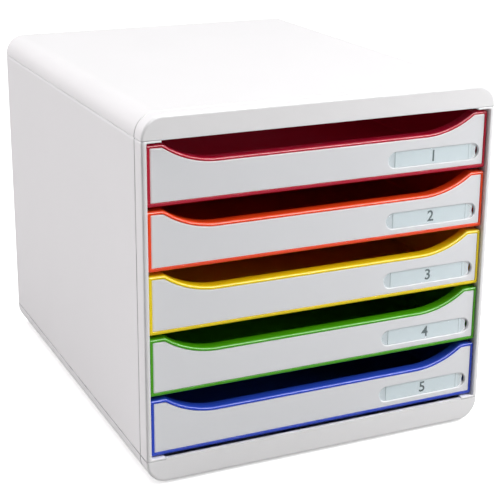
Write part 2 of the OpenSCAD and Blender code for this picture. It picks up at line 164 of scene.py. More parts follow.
class TowerFrontSizes(bpy.types.PropertyGroup):
    """Sizes of the drawer fronts."""

    border_side: length("Side border", "Width of the coloured border beside the panel", 2.3)
    border_low: length("Lower border", "Width of the coloured border below the panel", 2.8)
    border_top: length("Upper border", "Width of the coloured border above the panel", 2.3)
    corner: length("Corner radius", "Corner radius of a drawer front", 1.2)
    panel_corner: length("Panel corner", "Corner radius of the panel and its recess", 0.6)
    scoop_drop: length("Scoop depth", "How deep the grip scoop dips", 13.3)
    scoop_flat: length("Scoop length", "Length of the scoop's straight bottom", 164)
    scoop_radius: length("Scoop radius", "Radius of the scoop's rising ends", 68)
    shoulder_radius: length("Shoulder radius", "Radius of the scoop's shoulders", 3.6)
    edge_round: length("Edge rounding", "Rounding of the border's upper and lower edge", 1.9)
    edge_side: length("Side rounding", "Width of the rounding of the border's side edges", 0.9)
    inner_round: length("Inner rounding", "Rounding of the border's inner edge", 0.3)
    front_depth: length("Front depth", "Thickness of the moulded front", 4.4)
    lip_depth: length("Lip depth", "Depth of the rolled lip", 9)
    lip_thickness: length("Lip thickness", "Thickness of the lip", 2)
    panel_sink: length("Panel recess", "Depth of the recess that holds the panel", 2.4)
    panel_back: length("Panel set-back", "How far the panel lies behind the border", 0.2)
    panel_fit: length("Panel clearance", "Clearance round the panel", 0.15)
    panel_bevel: length("Panel bevel", "Width of the bevel round the panel's face", 1.0)
    panel_drop: length("Bevel drop", "How far that bevel falls back", 0.25)


class TowerLabelSizes(bpy.types.PropertyGroup):
    """Sizes of the label windows, slips and numbers."""

    length: length("Length", "Length of the label recess", 77.8)
    height: length("Height", "Height of the label recess", 12.6)
    sink: length("Depth", "Depth of the label recess", 1.4)
    end: length("End distance", "Distance from the recess to the front's end", 5.8)
    middle: length("Middle height", "Height of the label's middle above the front's foot", 13.4)
    edge: length("Recess edge", "Rounding of the recess's edge", 0.35)
    slot: length("Slot width", "Width of the crescent slot", 2.3)
    rim: length("Window rim", "Shadow gap between the recess's wall and the window and slip", 0.3)
    rim_top: length("Window top rim", "That gap at the recess's upper wall", 0.45)
    ink_depth: length("Ink thickness", "Thickness of the printed numbers", 0.04)
    line: length("Fold line", "Half the width of the fold lines near the slip's ends", 0.16)
    set_back: length("Window set-back", "How far the window's end keeps clear of the slot", 0.5)
    way_left: length("Slot way left", "How far the way behind the slot reaches left of it", 0.4)
    way_right: length("Slot way right", "How far it reaches right of the recess", 1.7)
    slot_height: length("Slot height", "Height of the crescent slot", 8.2)
    slot_edge: length("Slot edge", "Distance of the slot from the recess's end", 0.2)
    number_height: length("Number height", "Height of the printed numbers", 8.4)


class TowerTraySizes(bpy.types.PropertyGroup):
    """Sizes of the drawer trays."""

    inset: length("Side inset", "How far a tray's side stands in from the front's end", 1.9)
    wall: length("Wall", "Thickness of a tray's walls", 1.8)
    height: length("Height", "Height of a tray's walls", 41.2)
    length: length("Length", "Distance from the front's face to a tray's back", 334.4)
    corner: length("Back corner", "Radius of a tray's back corners", 5)
    floor_round: length("Floor rounding", "Rounding of the outer lower edge", 0.8)
    floor_fillet: length("Floor fillet", "Fillet between floor and walls", 2)
    skid: length("Skid width", "Width of the skids", 3)
    skid_height: length("Skid height", "Height of the skids", 0.5)
    lug_height: length("Lug height", "Height of the stop lugs", 4.5)
    lug_length: length("Lug length", "Length of the stop lugs", 5)
    lug_place: length("Lug place", "Distance from the front's face to the stop lugs", 294.1)
    gusset_height: length("Web height", "Height of the webs below the lip", 7)
    gusset_pitch: length("Web spacing", "Spacing of the webs below the lip", 33)
    gusset: length("Web thickness", "Thickness of the webs below the lip", 1.6)


class TowerFinishes(bpy.types.PropertyGroup):
    """Colours of the plastics, the paper and the studio floor."""

    casing: color("Casing", "Off-white plastic of the casing", (242, 241, 242))
    panel: color("Panels", "Very light grey plastic of the front panels", (232, 233, 236))
    raspberry: color("Raspberry", "Plastic of the first drawer", (190, 8, 48))
    orange: color("Orange", "Plastic of the second drawer", (250, 74, 24))
    yellow: color("Yellow", "Plastic of the third drawer", (244, 216, 14))
    green: color("Green", "Plastic of the fourth drawer", (72, 164, 14))
    blue: color("Blue", "Plastic of the fifth drawer", (42, 74, 200))
    slip: color("Paper", "White paper of the label slips", (245, 249, 252))
    ink: color("Ink", "Dark ink of the numbers", (26, 28, 34))
    window: color("Window", "Faintly green clear plastic of the label windows", (208, 233, 238))
    foot: color("Feet", "Dark grey rubber of the feet", (52, 53, 56))
    floor: color("Floor", "Plain pale floor of the studio", (246, 246, 246))


class TowerStudioSettings(bpy.types.PropertyGroup):
    """Lights and camera."""

    top_light: strength("Top light", "Strength of the wide light above", 2.2)
    key_light: strength("Key light", "Strength of the wide light above the front", 1.2)
    side_light: strength("Side light", "Strength of the wide light on the left", 1.67)
    front_light: strength("Front light", "Power of the softbox at the right front, in watts", 2.7)
    strip_light: strength("Strip light", "Power of the narrow light over the front, in watts", 45)
    cover_glow: strength("Cover glow", "Power of the light seeping in at the top, in watts", 0.02)
    sky: strength("Sky", "Strength of the even light from all round", 0.08)
    floor_bounce: strength("Floor bounce", "Share of its light that the floor throws back", 0.52)
    focal_length: bpy.props.FloatProperty(
        name="Focal length", description="Focal length on a 36 mm sensor, in millimetres",
        default=94.8, min=1.0)
    distance: length("Camera distance", "Distance of the camera from its target", 1106)


# ---------------------------------------------------------------- grids and lofts


def quads(shape, wrap=False):
    """Corner indices of the faces between the rows and columns of a grid. A wrapped grid's last
    column joins its first."""
    rows, cols = shape
    i, j = np.meshgrid(np.arange(rows - 1), np.arange(cols if wrap else cols - 1), indexing="ij")
    k = (j + 1) % cols
    corners = [i * cols + j, i * cols + k, (i + 1) * cols + k, (i + 1) * cols + j]
    return np.stack(corners, -1).reshape(-1, 4)


def grid(points, wrap=False):
    """A surface through a grid of points, as a list of one (points, faces) part."""
    return [(points.reshape(-1, 3), quads(points.shape[:2], wrap))]


def ruled(lines, steps):
    """Grid whose rows step evenly from each line to the next: line + (next - line) * t."""
    parts = [
        a + (b - a) * np.linspace(0, 1, n, endpoint=False)[:, None, None]
        for a, b, n in zip(lines, lines[1:], steps)
    ]
    return np.concatenate(parts + [lines[-1][None]])


def rim(layer):
    """Outer loop of a grid of points: its first row, last column, last row and first column."""
    return np.concatenate([layer[0], layer[1:, -1], layer[-1, -2::-1], layer[-2:0:-1, 0]])


def loft(layers, first=True, last=True):
    """Closed body through a stack of like grids: walls join their rims, and the first and last
    grid close the ends."""
    parts = grid(np.stack([rim(layer) for layer in layers]), True)
    return parts + (grid(layers[0]) if first else []) + (grid(layers[-1]) if last else [])


def line(x, y, z):
    """Line of points from coordinates, any of which may be one number."""
    return np.stack(np.broadcast_arrays(*(np.asarray(c, float) for c in (x, y, z))), -1)


def quarter(n=4):
    """Sine and cosine over a quarter turn, in n steps."""
    turn = np.linspace(0, math.pi / 2, n + 1)
    return np.sin(turn), np.cos(turn)


def plate(x0, x1, y0, y1, r, z, inner=2):
    """Flat rectangle at height z with quarter-circle corners: x runs through the corner arcs, and y
    is lifted from each side by r - r * sin(turn) there."""
    s, c = quarter(4)
    mid = np.linspace(x0 + r, x1 - r, inner + 2)[1:-1]
    x = np.concatenate([x0 + r - r * c, mid, (x1 - r + r * c)[::-1]])
    lift = np.concatenate([r - r * s, mid * 0, (r - r * s)[::-1]])
    return ruled([line(x, y0 + lift, z), line(x, y1 - lift, z)], [2])


def rounded(z0, z1, r):
    """Inset and height of a body's layers, with rounded lower and upper edges: r - r * sin(turn)
    and z0 + r - r * cos(turn) over a quarter turn, and the same mirrored at the top."""
    s, c = quarter(3)
    levels = [(r - r * a, z0 + r - r * b) for a, b in zip(s, c)]
    return levels + [(inset, z0 + z1 - z) for inset, z in levels[::-1]]


def block(x0, x1, y0, y1, z0, z1, r, corner=None):
    """Box with rounded edges: a plate for each of its levels, set in by that level's inset."""
    corner = r if corner is None else corner
    least = 0.02 * MM
    return loft([
        plate(x0 + e, x1 - e, y0 + e, y1 - e, max(corner - e, least), z)
        for e, z in rounded(z0, z1, r)
    ])


def turned(parts, matrix):
    """The same parts, moved by a matrix of three rows and an optional fourth column."""
    m = np.asarray(matrix, float)
    return [(p @ m[:, :3].T + (m[:, 3] if m.shape[1] > 3 else 0), f) for p, f in parts]


def lathe(profile, cx, cy, n=48):
    """Body of revolution about an upright axis: each (radius, z) pair of the profile runs round
    it."""
    turn = np.linspace(0, 2 * math.pi, n, endpoint=False)
    r, z = np.array(profile, float).T[:, :, None]
    return grid(np.stack([cx + r * np.cos(turn), cy + r * np.sin(turn), z + 0 * turn], -1), True)


def merge(mesh, distance):
    """Welds a mesh's points that lie within the distance, and turns its faces outwards."""
    work = bmesh.new()
    work.from_mesh(mesh)
    bmesh.ops.remove_doubles(work, verts=work.verts, dist=distance)
    bmesh.ops.recalc_face_normals(work, faces=work.faces)
    work.to_mesh(mesh)
    work.free()


def piece(name, parts, body, material, nodes, crease=32):
    """Makes one object of the parts: welds their seams, turns the faces outwards, keeps edges over
    the crease angle sharp, and lets it ride on its body."""
    mesh = bpy.data.meshes.new(name)
    start = np.cumsum([0] + [len(p) for p, f in parts])
    points = np.concatenate([p for p, f in parts])
    faces = np.concatenate([f + n for (p, f), n in zip(parts, start)])
    mesh.vertices.add(len(points))
    mesh.vertices.foreach_set("co", points.astype(np.float32).ravel())
    mesh.loops.add(faces.size)
    mesh.loops.foreach_set("vertex_index", faces.ravel().astype(np.int32))
    mesh.polygons.add(len(faces))
    mesh.polygons.foreach_set("loop_start", np.arange(0, faces.size, 4, dtype=np.int32))
    mesh.update(calc_edges=True)
    mesh.validate()
    merge(mesh, WELD)
    mesh.shade_smooth()
    mesh.set_sharp_from_angle(angle=math.radians(crease))
    mesh.materials.append(material)
    obj = bpy.data.objects.new(name, mesh)
    bpy.context.scene.collection.objects.link(obj)
    weighted = obj.modifiers.new("Even flats", "WEIGHTED_NORMAL")
    weighted.keep_sharp = True
    weighted.weight = 90
    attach(obj, body)
    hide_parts(*nodes)


# ---------------------------------------------------------------- materials


def node(tree, kind, at, **values):
    """Adds a shader node. Values name its properties, or its inputs where they start with in_."""
    n = tree.nodes.new(kind)
    n.location = at
    for key, value in values.items():
        if key.startswith("in_"):
            n.inputs[key[3:].replace("_", " ")].default_value = value
        else:
            setattr(n, key, value)
    return n


def feed(tree, socket, value):
    """Links an output socket to an input, or sets the input to a number or a colour."""
    if isinstance(value, bpy.types.NodeSocket):
        tree.links.new(value, socket)
    else:
        socket.default_value = value


def maths(tree, at, operation, *values, clamp=False):
    """Math node on sockets and numbers, in the order of its inputs. Gives its result."""
    n = node(tree, "ShaderNodeMath", at, operation=operation, use_clamp=clamp)
    for socket, value in zip(n.inputs, values):
        feed(tree, socket, value)
    return n.outputs[0]


def blend(tree, at, share, first, second):
    """Mix node for colours: first * (1 - share) + second * share. Gives its result."""
    n = node(tree, "ShaderNodeMix", at, data_type="RGBA")
    for index, value in ((0, share), (6, first), (7, second)):
        feed(tree, n.inputs[index], value)
    return n.outputs[2]


def noise(tree, at, place, scale, detail, roughness=0.5):
    """Noise texture over a place. Gives its value."""
    n = node(tree, "ShaderNodeTexNoise", at, in_Detail=detail, in_Roughness=roughness)
    feed(tree, n.inputs["Vector"], place)
    feed(tree, n.inputs["Scale"], scale)
    return n.outputs["Fac"]


def object_place(tree):
    """The place on the object."""
    return node(tree, "ShaderNodeTexCoord", (-900, 300)).outputs["Object"]


def coordinates(tree, place):
    """X, Y and Z of a place."""
    axes = node(tree, "ShaderNodeSeparateXYZ", (-700, 300))
    feed(tree, axes.inputs[0], place)
    return axes.outputs


def group(name, inputs, outputs):
    """A new shader node group. Inputs give each socket's default value, which is a colour where it
    has four parts, and outputs give each socket's kind."""
    tree = bpy.data.node_groups.new(name, "ShaderNodeTree")
    for key, value in inputs.items():
        kind = COLOR if isinstance(value, tuple) else NUMBER
        socket = tree.interface.new_socket(name=key, in_out="INPUT", socket_type=kind)
        socket.default_value = value
    for key, kind in outputs.items():
        tree.interface.new_socket(name=key, in_out="OUTPUT", socket_type=kind)
    into = node(tree, "NodeGroupInput", (-900, 0))
    out = node(tree, "NodeGroupOutput", (700, 0))
    return tree, into.outputs, out.inputs


def grouped(tree, at, name, build, values):
    """Node of the group of that name, which build makes the first time, with its inputs set to the
    values. Gives its results."""
    n = node(tree, "ShaderNodeGroup", at, node_tree=bpy.data.node_groups.get(name) or build(name))
    for key, value in values.items():
        n.inputs[key].default_value = value
    return n.outputs


def moulded_grain(name):
    """Group: the fine spark-eroded grain and slow waves of a moulded face, as a height, and a slow
    variation of its gloss. Height = grain noise * depth + wave noise * depth, and roughness = its
    middle + (patch noise - 0.5) * its range."""
    tree, into, out = group(name, {
        "Grain Scale": 1800.0, "Grain Depth": 0.5, "Wave Scale": 9.0, "Wave Depth": 1.0,
        "Roughness": 0.4, "Roughness Range": 0.06,
    }, {"Height": NUMBER, "Roughness": NUMBER})
    place = object_place(tree)
    grain = noise(tree, (-600, 300), place, into["Grain Scale"], 3.0, 0.6)
    wave = noise(tree, (-600, 0), place, into["Wave Scale"], 1.0)
    patch = noise(tree, (-600, -300), place, 34.0, 4.0)
    fine = maths(tree, (-300, 300), "MULTIPLY", grain, into["Grain Depth"])
    slow = maths(tree, (-300, 0), "MULTIPLY", wave, into["Wave Depth"])
    feed(tree, out["Height"], maths(tree, (0, 150), "ADD", fine, slow))
    past = maths(tree, (-300, -300), "SUBTRACT", patch, 0.5)
    middle, spread = into["Roughness"], into["Roughness Range"]
    feed(tree, out["Roughness"], maths(tree, (0, -250), "MULTIPLY_ADD", past, spread, middle))
    return tree


def pigment(name):
    """Group: base colour with faint cloudy variation of the pigment and specks of dust. Colour =
    base mixed with a second tint by slow noise, then with dust where a fine noise peaks."""
    tree, into, out = group(name, {
        "Base": (0.8, 0.8, 0.8, 1), "Tint": (0.7, 0.7, 0.7, 1), "Tint Amount": 0.2,
        "Cloud Scale": 14.0, "Dust": (0.6, 0.58, 0.55, 1), "Dust Amount": 0.1,
    }, {"Color": COLOR})
    place = object_place(tree)
    cloud = noise(tree, (-600, 300), place, into["Cloud Scale"], 3.0)
    fine = noise(tree, (-600, -100), place, 420.0, 2.0)
    specks = node(tree, "ShaderNodeMapRange", (-400, -100), in_From_Min=0.66, in_From_Max=0.82)
    feed(tree, specks.inputs["Value"], fine)
    tinted = maths(tree, (-300, 300), "MULTIPLY", cloud, into["Tint Amount"])
    dusted = maths(tree, (-200, -100), "MULTIPLY", specks.outputs["Result"], into["Dust Amount"])
    mixed = blend(tree, (0, 200), tinted, into["Base"], into["Tint"])
    feed(tree, out["Color"], blend(tree, (300, 100), dusted, mixed, into["Dust"]))
    return tree


def line_mask(tree, value, place, width, y):
    """Nodes for 1 - |value - place| / width, kept between 0 and 1. Gives their result."""
    past = maths(tree, (-500, y), "SUBTRACT", value, place)
    size = maths(tree, (-350, y), "ABSOLUTE", past)
    share = maths(tree, (-200, y), "DIVIDE", size, width)
    return maths(tree, (-50, y), "SUBTRACT", 1.0, share, clamp=True)


def joint_dust(name):
    """Group: a mask of painted shade in the groove round the casing, in the two parting lines, on
    the front rail's top and on the sides' rounded front edges, where shade falls. Mask = 1 -
    distance from the line / half its width, broken up by a slow noise. The parting lines count
    only beyond a distance from the middle and the rail only within it, the groove fades towards
    the top, and the front edges' line is where Y + |X| has one value, between the parting lines.
    Edge is the same mask for a painted highlight, a pale line just below the upper parting line,
    without the noise."""
    tree, into, out = group(name, {
        "Groove Y": 0.0, "Groove Width": 0.001, "Lower Z": 0.0, "Upper Z": 0.0,
        "Joint Width": 0.001, "Amount": 0.5, "Rail Z": 0.0, "Rail Share": 0.5,
        "Corner Sum": 0.0, "Corner Width": 0.001, "Corner Share": 0.5,
        "Opening X": 0.1, "Top Z": 0.2, "Fade Height": 0.01, "Edge Z": 0.0, "Edge Width": 0.001,
    }, {"Mask": NUMBER, "Edge": NUMBER})
    place = object_place(tree)
    x, y, z = coordinates(tree, place)
    away = maths(tree, (-500, -500), "ABSOLUTE", x)
    beside = maths(tree, (-300, -500), "GREATER_THAN", away, into["Opening X"])
    within = maths(tree, (-100, -500), "SUBTRACT", 1.0, beside)
    rail = maths(tree, (50, -500), "MULTIPLY", within, into["Rail Share"])
    below = maths(tree, (-500, -700), "SUBTRACT", into["Top Z"], z)
    faded = maths(tree, (-300, -700), "DIVIDE", below, into["Fade Height"], clamp=True)
    total = maths(tree, (-700, -900), "ADD", y, away)
    double = maths(tree, (-700, -1100), "ADD", into["Lower Z"], into["Upper Z"])
    middle = maths(tree, (-500, -1100), "MULTIPLY", double, 0.5)
    reach = maths(tree, (-500, -1300), "SUBTRACT", into["Upper Z"], middle)
    between = maths(tree, (-300, -1100), "COMPARE", z, middle, reach)
    corner = maths(tree, (-100, -1100), "MULTIPLY", between, into["Corner Share"])
    strongest = None
    for i, (along, key, width, share) in enumerate((
            (y, "Groove Y", "Groove Width", faded), (z, "Lower Z", "Joint Width", beside),
            (z, "Upper Z", "Joint Width", beside), (z, "Rail Z", "Joint Width", rail),
            (total, "Corner Sum", "Corner Width", corner))):
        level = 300 - 200 * i
        mask = line_mask(tree, along, into[key], into[width], level)
        mask = maths(tree, (50, level), "MULTIPLY", mask, share)
        strongest = maths(tree, (200, level), "MAXIMUM", strongest, mask) if i else mask
    cloud = noise(tree, (-700, -300), place, 60.0, 3.0)
    patchy = maths(tree, (300, -200), "MULTIPLY", cloud, into["Amount"])
    # Painted shade: this mask darkens the groove, the parting lines, the rail's top and the front
    # edges.
    feed(tree, out["Mask"], maths(tree, (500, 0), "MULTIPLY", strongest, patchy, clamp=True))
    # Painted highlight: this mask lightens a line just below the upper parting line.
    feed(tree, out["Edge"], line_mask(tree, z, into["Edge Z"], into["Edge Width"], -900))
    return tree


def edge_band(name):
    """Group: a mask for a painted highlight on the faces that lie a little behind a level face,
    broken up by a slow noise. It rises from 0 at the face to 1 at a third of the depth, and falls
    to 0 again at the depth."""
    tree, into, out = group(name, {"Face Y": 0.0, "Depth": 0.001, "Amount": 1.0}, {"Mask": NUMBER})
    place = object_place(tree)
    cloud = noise(tree, (-700, -300), place, 90.0, 2.0)
    behind = maths(tree, (-500, 200), "SUBTRACT", coordinates(tree, place)["Y"], into["Face Y"])
    share = maths(tree, (-350, 200), "DIVIDE", behind, into["Depth"])
    rise = maths(tree, (-200, 300), "MULTIPLY", share, 3.0, clamp=True)
    fall = maths(tree, (-200, 100), "SUBTRACT", 1.0, share, clamp=True)
    both = maths(tree, (0, 200), "MULTIPLY", rise, fall)
    patchy = maths(tree, (0, -100), "MULTIPLY_ADD", cloud, 0.4, 0.8)
    mask = maths(tree, (300, 100), "MULTIPLY", both, patchy, clamp=True)
    feed(tree, out["Mask"], maths(tree, (450, 0), "MULTIPLY", mask, into["Amount"], clamp=True))
    return tree


def fold_lines(name):
    """Group: a mask of two upright lines on a slip, 1 - distance from the line / half its width."""
    inputs = {"Left X": 0.0, "Right X": 0.0, "Half Width": 0.001}
    tree, into, out = group(name, inputs, {"Mask": NUMBER})
    x = coordinates(tree, object_place(tree))["X"]
    left = line_mask(tree, x, into["Left X"], into["Half Width"], 300)
    right = line_mask(tree, x, into["Right X"], into["Half Width"], 100)
    feed(tree, out["Mask"], maths(tree, (300, 200), "ADD", left, right, clamp=True))
    return tree


def darker(value, share):
    """A colour with each channel times the share."""
    return tuple(c * share for c in value)


def opaque(value):
    """A colour with its fourth part."""
    return (*value, 1)


def plastic(name, base, tint, roughness, spread, grain, depth, wave,
            dust=0.05, ior=1.5, clouds=0.25):
    """Moulded plastic: pigment for its colour, grain and waves for its gloss and relief. The
    roughness varies by the spread, and grain is the grain's scale, depth and wave the depths."""
    mat = bpy.data.materials.new(name)
    mat.use_nodes = True
    mat.diffuse_color = opaque(base)
    tree = mat.node_tree
    shader = tree.nodes["Principled BSDF"].inputs
    shader["IOR"].default_value = ior
    colors = grouped(tree, (-600, 200), "Pigment", pigment, {
        "Base": opaque(base), "Tint": opaque(tint), "Tint Amount": clouds, "Dust Amount": dust,
    })
    relief = grouped(tree, (-600, -200), "Moulded grain", moulded_grain, {
        "Grain Scale": grain, "Grain Depth": depth, "Wave Depth": wave,
        "Roughness": roughness, "Roughness Range": spread,
    })
    bump = node(tree, "ShaderNodeBump", (-250, -250), in_Strength=0.35, in_Distance=0.2 * MM)
    feed(tree, shader["Base Color"], colors["Color"])
    feed(tree, shader["Roughness"], relief["Roughness"])
    feed(tree, bump.inputs["Height"], relief["Height"])
    feed(tree, shader["Normal"], bump.outputs["Normal"])
    return mat


def overlay(mat, at, mask, value):
    """Lays a colour over what feeds the shader's base colour, by a mask."""
    tree = mat.node_tree
    socket = tree.nodes["Principled BSDF"].inputs["Base Color"]
    feed(tree, socket, blend(tree, at, mask, socket.links[0].from_socket, opaque(value)))


def casing_finish(name, base):
    """Off-white plastic with painted shade in the groove, the parting lines, on the rail and the
    front edges, and a painted highlight below the upper parting line.
    """
    mat = plastic(name, base, darker(base, 0.93), 0.42, 0.08, 1500, 0.5, 0.6)
    c = bpy.context.scene.tower_casing
    low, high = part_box("left_side")
    lines = grouped(mat.node_tree, (-600, 500), "Joint dust", joint_dust, {
        "Groove Y": low.y + c.groove_place + c.groove_width / 2, "Groove Width": c.groove_width,
        "Lower Z": low.z - c.rim_step, "Upper Z": high.z + c.rim_step,
        "Joint Width": c.rim_step, "Amount": 1.5,
        "Rail Z": low.z + c.rim_lift, "Rail Share": 0.5,
        "Corner Sum": low.y - low.x, "Corner Width": 1.2 * MM, "Corner Share": 0.5,
        "Edge Z": high.z - c.wall_round, "Edge Width": 1.8 * MM,
        "Opening X": -low.x - c.flange_width,
        "Top Z": CAD_BOX[1].z, "Fade Height": c.corner_radius,
    })
    # Painted highlight: a near-white line just below the upper parting line.
    overlay(mat, (-400, 450), lines["Edge"], (0.99, 0.99, 1.0))
    # Painted shade: darker in the groove, the parting lines, on the rail's top and the front edges.
    overlay(mat, (-250, 300), lines["Mask"], darker(base, 0.3))
    return mat


def panel_finish(name, base):
    """Very light grey plastic, with a painted highlight that makes the bevel round the face
    lighter.
    """
    mat = plastic(name, base, darker(base, 0.93), 0.36, 0.08, 1500, 0.45, 0.6)
    band = grouped(mat.node_tree, (-600, 500), "Edge band", edge_band, {
        "Face Y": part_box("drawer_1_front")[0].y,
        "Depth": 4 * bpy.context.scene.tower_front.panel_drop, "Amount": 1.4,
    })
    # Painted highlight: the bevel round the face is made lighter.
    overlay(mat, (-250, 300), band["Mask"], (0.96, 0.96, 0.97))
    return mat


def drawer_finish(name, base):
    """Glossy coloured plastic of a drawer."""
    return plastic(name, base, darker(base, 0.8), 0.2, 0.06, 1100, 0.2, 0.5, dust=0.02, ior=1.4)


def paper_finish(name, base):
    """White paper with a faint grey fold line near either end of the slip."""
    mat = plastic(name, base, darker(base, 0.9), 0.8, 0.05, 5200, 0.9, 0.3, dust=0.0, ior=1.3)
    half = bpy.context.scene.tower_label.line
    low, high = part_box("drawer_1_slip")
    folds = grouped(mat.node_tree, (-600, 500), "Fold lines", fold_lines, {
        "Left X": low.x + half, "Right X": high.x - 2 * MM, "Half Width": 2 * half,
    })
    overlay(mat, (-250, 300), folds["Mask"], darker(base, 0.25))
    return mat


def ink_finish(name, base):
    """Dull dark ink."""
    return plastic(name, base, darker(base, 1.3), 0.6, 0.05, 5200, 0.6, 0.1, dust=0.0, ior=1.35)


def window_finish(name, base):
    """Clear film: a faint tint that lets the slip show, with a polished surface."""
    mat = plastic(name, base, (0.6, 0.7, 0.72), 0.12, 0.04, 900, 0.1, 0.6, dust=0.0)
    mat.node_tree.nodes["Principled BSDF"].inputs["Alpha"].default_value = 0.15
    return mat


def rubber_finish(name, base):
    """Dull dark rubber with dust on it."""
    return plastic(name, base, darker(base, 0.6), 0.75, 0.1, 1400, 0.9, 0.3, dust=0.2)


FINISHES = {
    "casing": ("Casing plastic", casing_finish),
    "panel": ("Panel plastic", panel_finish),
    "slip": ("Label paper", paper_finish),
    "ink": ("Printed ink", ink_finish),
    "window": ("Clear window", window_finish),
    "foot": ("Foot rubber", rubber_finish),
    **{key: (key.capitalize() + " plastic", drawer_finish) for key in PLASTICS},
}


def finish(key):
    """The material of one of the finishes, made the first time that it is asked for."""
    name, build = FINISHES[key]
    base = tuple(getattr(bpy.context.scene.tower_finishes, key))
    return bpy.data.materials.get(name) or build(name, base)


# ---------------------------------------------------------------- casing


def groove_section(start, depth):
    """Places across the groove and its depth there: a rounded lip, a slope, the level floor, and
    the same mirrored. At the lip's end it is a quarter as deep as at its floor."""
    c = bpy.context.scene.tower_casing
    near = np.array([0.0, c.groove_lip, c.groove_slope])
    across = np.concatenate([near, c.groove_width - near[::-1]])
    return start + across, depth * np.array([0, 0.25, 1, 1, 0.25, 0])


def cover_layer(half_x, half_y, radius, edge, level, turn, groove, depth):
    """One layer of a cover's skin. Along y the skin dips by e: r - sqrt(r^2 - d^2) at the rounded
    front and back edges and the groove's depth in the groove. Across, the layer spans the arch's
    width at this turn, and the dip acts along the arch's normal."""
    s, c = quarter(5)
    across, dip = groove_section(groove, depth)
    inner = np.linspace(across[-1], half_y - edge, 6)[1:-1]
    y = np.concatenate([-half_y + edge - edge * c, across, inner, (half_y - edge + edge * c)[::-1]])
    e = np.concatenate([edge - edge * s, dip, inner * 0, (edge - edge * s)[::-1]])
    x = half_x - radius + radius * math.cos(turn) - e * math.cos(turn)
    z = level - e * math.sin(turn)
    share = np.linspace(-1, 1, 13)[:, None]
    return line(share * x, y, z)


def cover_skin(half_x, half_y, rim_z, top, radius, edge, groove, depth):
    """Layers of a cover's skin from its rim to its flat top: straight up, then round the long
    corner, where z = top - radius + radius * sin(turn)."""
    levels = [(z, 0.0) for z in np.linspace(rim_z, top - radius, 3)[:-1]]
    levels += [(top - radius + radius * math.sin(t), t) for t in np.linspace(0, math.pi / 2, 15)]
    return [cover_layer(half_x, half_y, radius, edge, z, t, groove, depth) for z, t in levels]


def cover_parts(height, box):
    """A cover with its rim at z = 0: outer skin, stepped rim and inner skin as one shell, with ribs
    inside."""
    c = bpy.context.scene.tower_casing
    straight, least_edge, inner_edge = 0.4 * MM, 0.1 * MM, 0.4 * MM
    half_x, half_y = box[1].x, box[1].y
    radius = min(c.corner_radius, height - straight)
    groove = -half_y + c.groove_place
    rim_top = c.rim_step + c.rim_round
    outer = cover_skin(half_x, half_y, rim_top, height, radius, c.edge_radius, groove,
                       c.groove_depth)
    s, k = quarter(3)

    def low(inset, z):
        """Layer of the rim, set in from the outer skin."""
        edge = max(c.edge_radius - inset, least_edge)
        depth = max(c.groove_depth - inset, 0.0)
        return cover_layer(half_x - inset, half_y - inset, radius - inset, edge, z, 0.0,
                           groove, depth)

    edge = [low(c.rim_round * (1 - b), c.rim_step + c.rim_round * (1 - a)) for a, b in zip(s, k)]
    step = [low(c.rim_depth, c.rim_step), low(c.rim_depth, 0.0)]
    w = c.wall
    inner = cover_skin(half_x - w, half_y - w, 0.0, height - w, radius - w, inner_edge, groove, 0.0)
    parts = loft(outer[::-1] + edge[1:] + step + inner)
    floor = height - w
    r = NIB_ROUND
    low_z, high_z = floor - c.rib_height, floor + r
    span_x, span_y = half_x - c.corner_radius, half_y - w + r
    for i in (-1, 0, 1):
        x, y = i * c.rib_pitch_x, i * c.rib_pitch_y
        parts += block(x - c.rib / 2, x + c.rib / 2, -span_y, span_y, low_z, high_z, r)
        parts += block(-span_x, span_x, y - c.rib / 2, y + c.rib / 2, low_z, high_z, r)
    return parts


def pegs(height, box):
    """Locating pegs below the rim on their bosses, turned about their own axes."""
    c = bpy.context.scene.tower_casing
    soft = 0.2 * MM
    deep = c.flange_thickness - soft
    parts = []
    for sx in (-1, 1):
        for sy in (-1, 0, 1):
            parts += lathe([
                (0, height - c.rib_height), (c.boss, height - c.rib_height),
                (c.boss, soft), (c.boss - soft, 0), (c.peg, 0),
                (c.peg, soft - deep), (c.peg - soft, -deep), (0, -deep),
            ], sx * (box[1].x - c.peg_inset), sy * (box[1].y - c.peg_end), 24)
    return parts


def front_rim(box):
    """The raised rim of the base cover's front rail, below z = 0 because that cover is turned
    over. Its face lies a hair behind the cover's."""
    c = bpy.context.scene.tower_casing
    half = box[1].x - c.flange_width - c.rim_fit
    front = box[0].y
    hair, root = 0.02 * MM, 0.7 * MM
    return block(-half, half, front + hair, front + c.wall, -c.rim_lift,
                 c.rim_step + c.rim_round + root, NIB_ROUND)


class TOWER_OT_covers(bpy.types.Operator):
    """Make the rounded top cover and base cover"""

    bl_idname = "tower.covers"
    bl_label = "Covers"

    def execute(self, context):
        plastic_white = finish("casing")
        low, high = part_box("left_side")
        for name, z, up in (("top_cover", high.z, 1), ("base_cover", low.z, -1)):
            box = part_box(name)
            height = box[1].z - z if up > 0 else z - box[0].z
            parts = cover_parts(height, box) + pegs(height, box)
            if up < 0:
                parts += front_rim(box)
            parts = turned(parts, [[1, 0, 0, 0], [0, 1, 0, 0], [0, 0, up, z]])
            piece(name + "_shell", parts, "casing", plastic_white, [name])
        return {"FINISHED"}


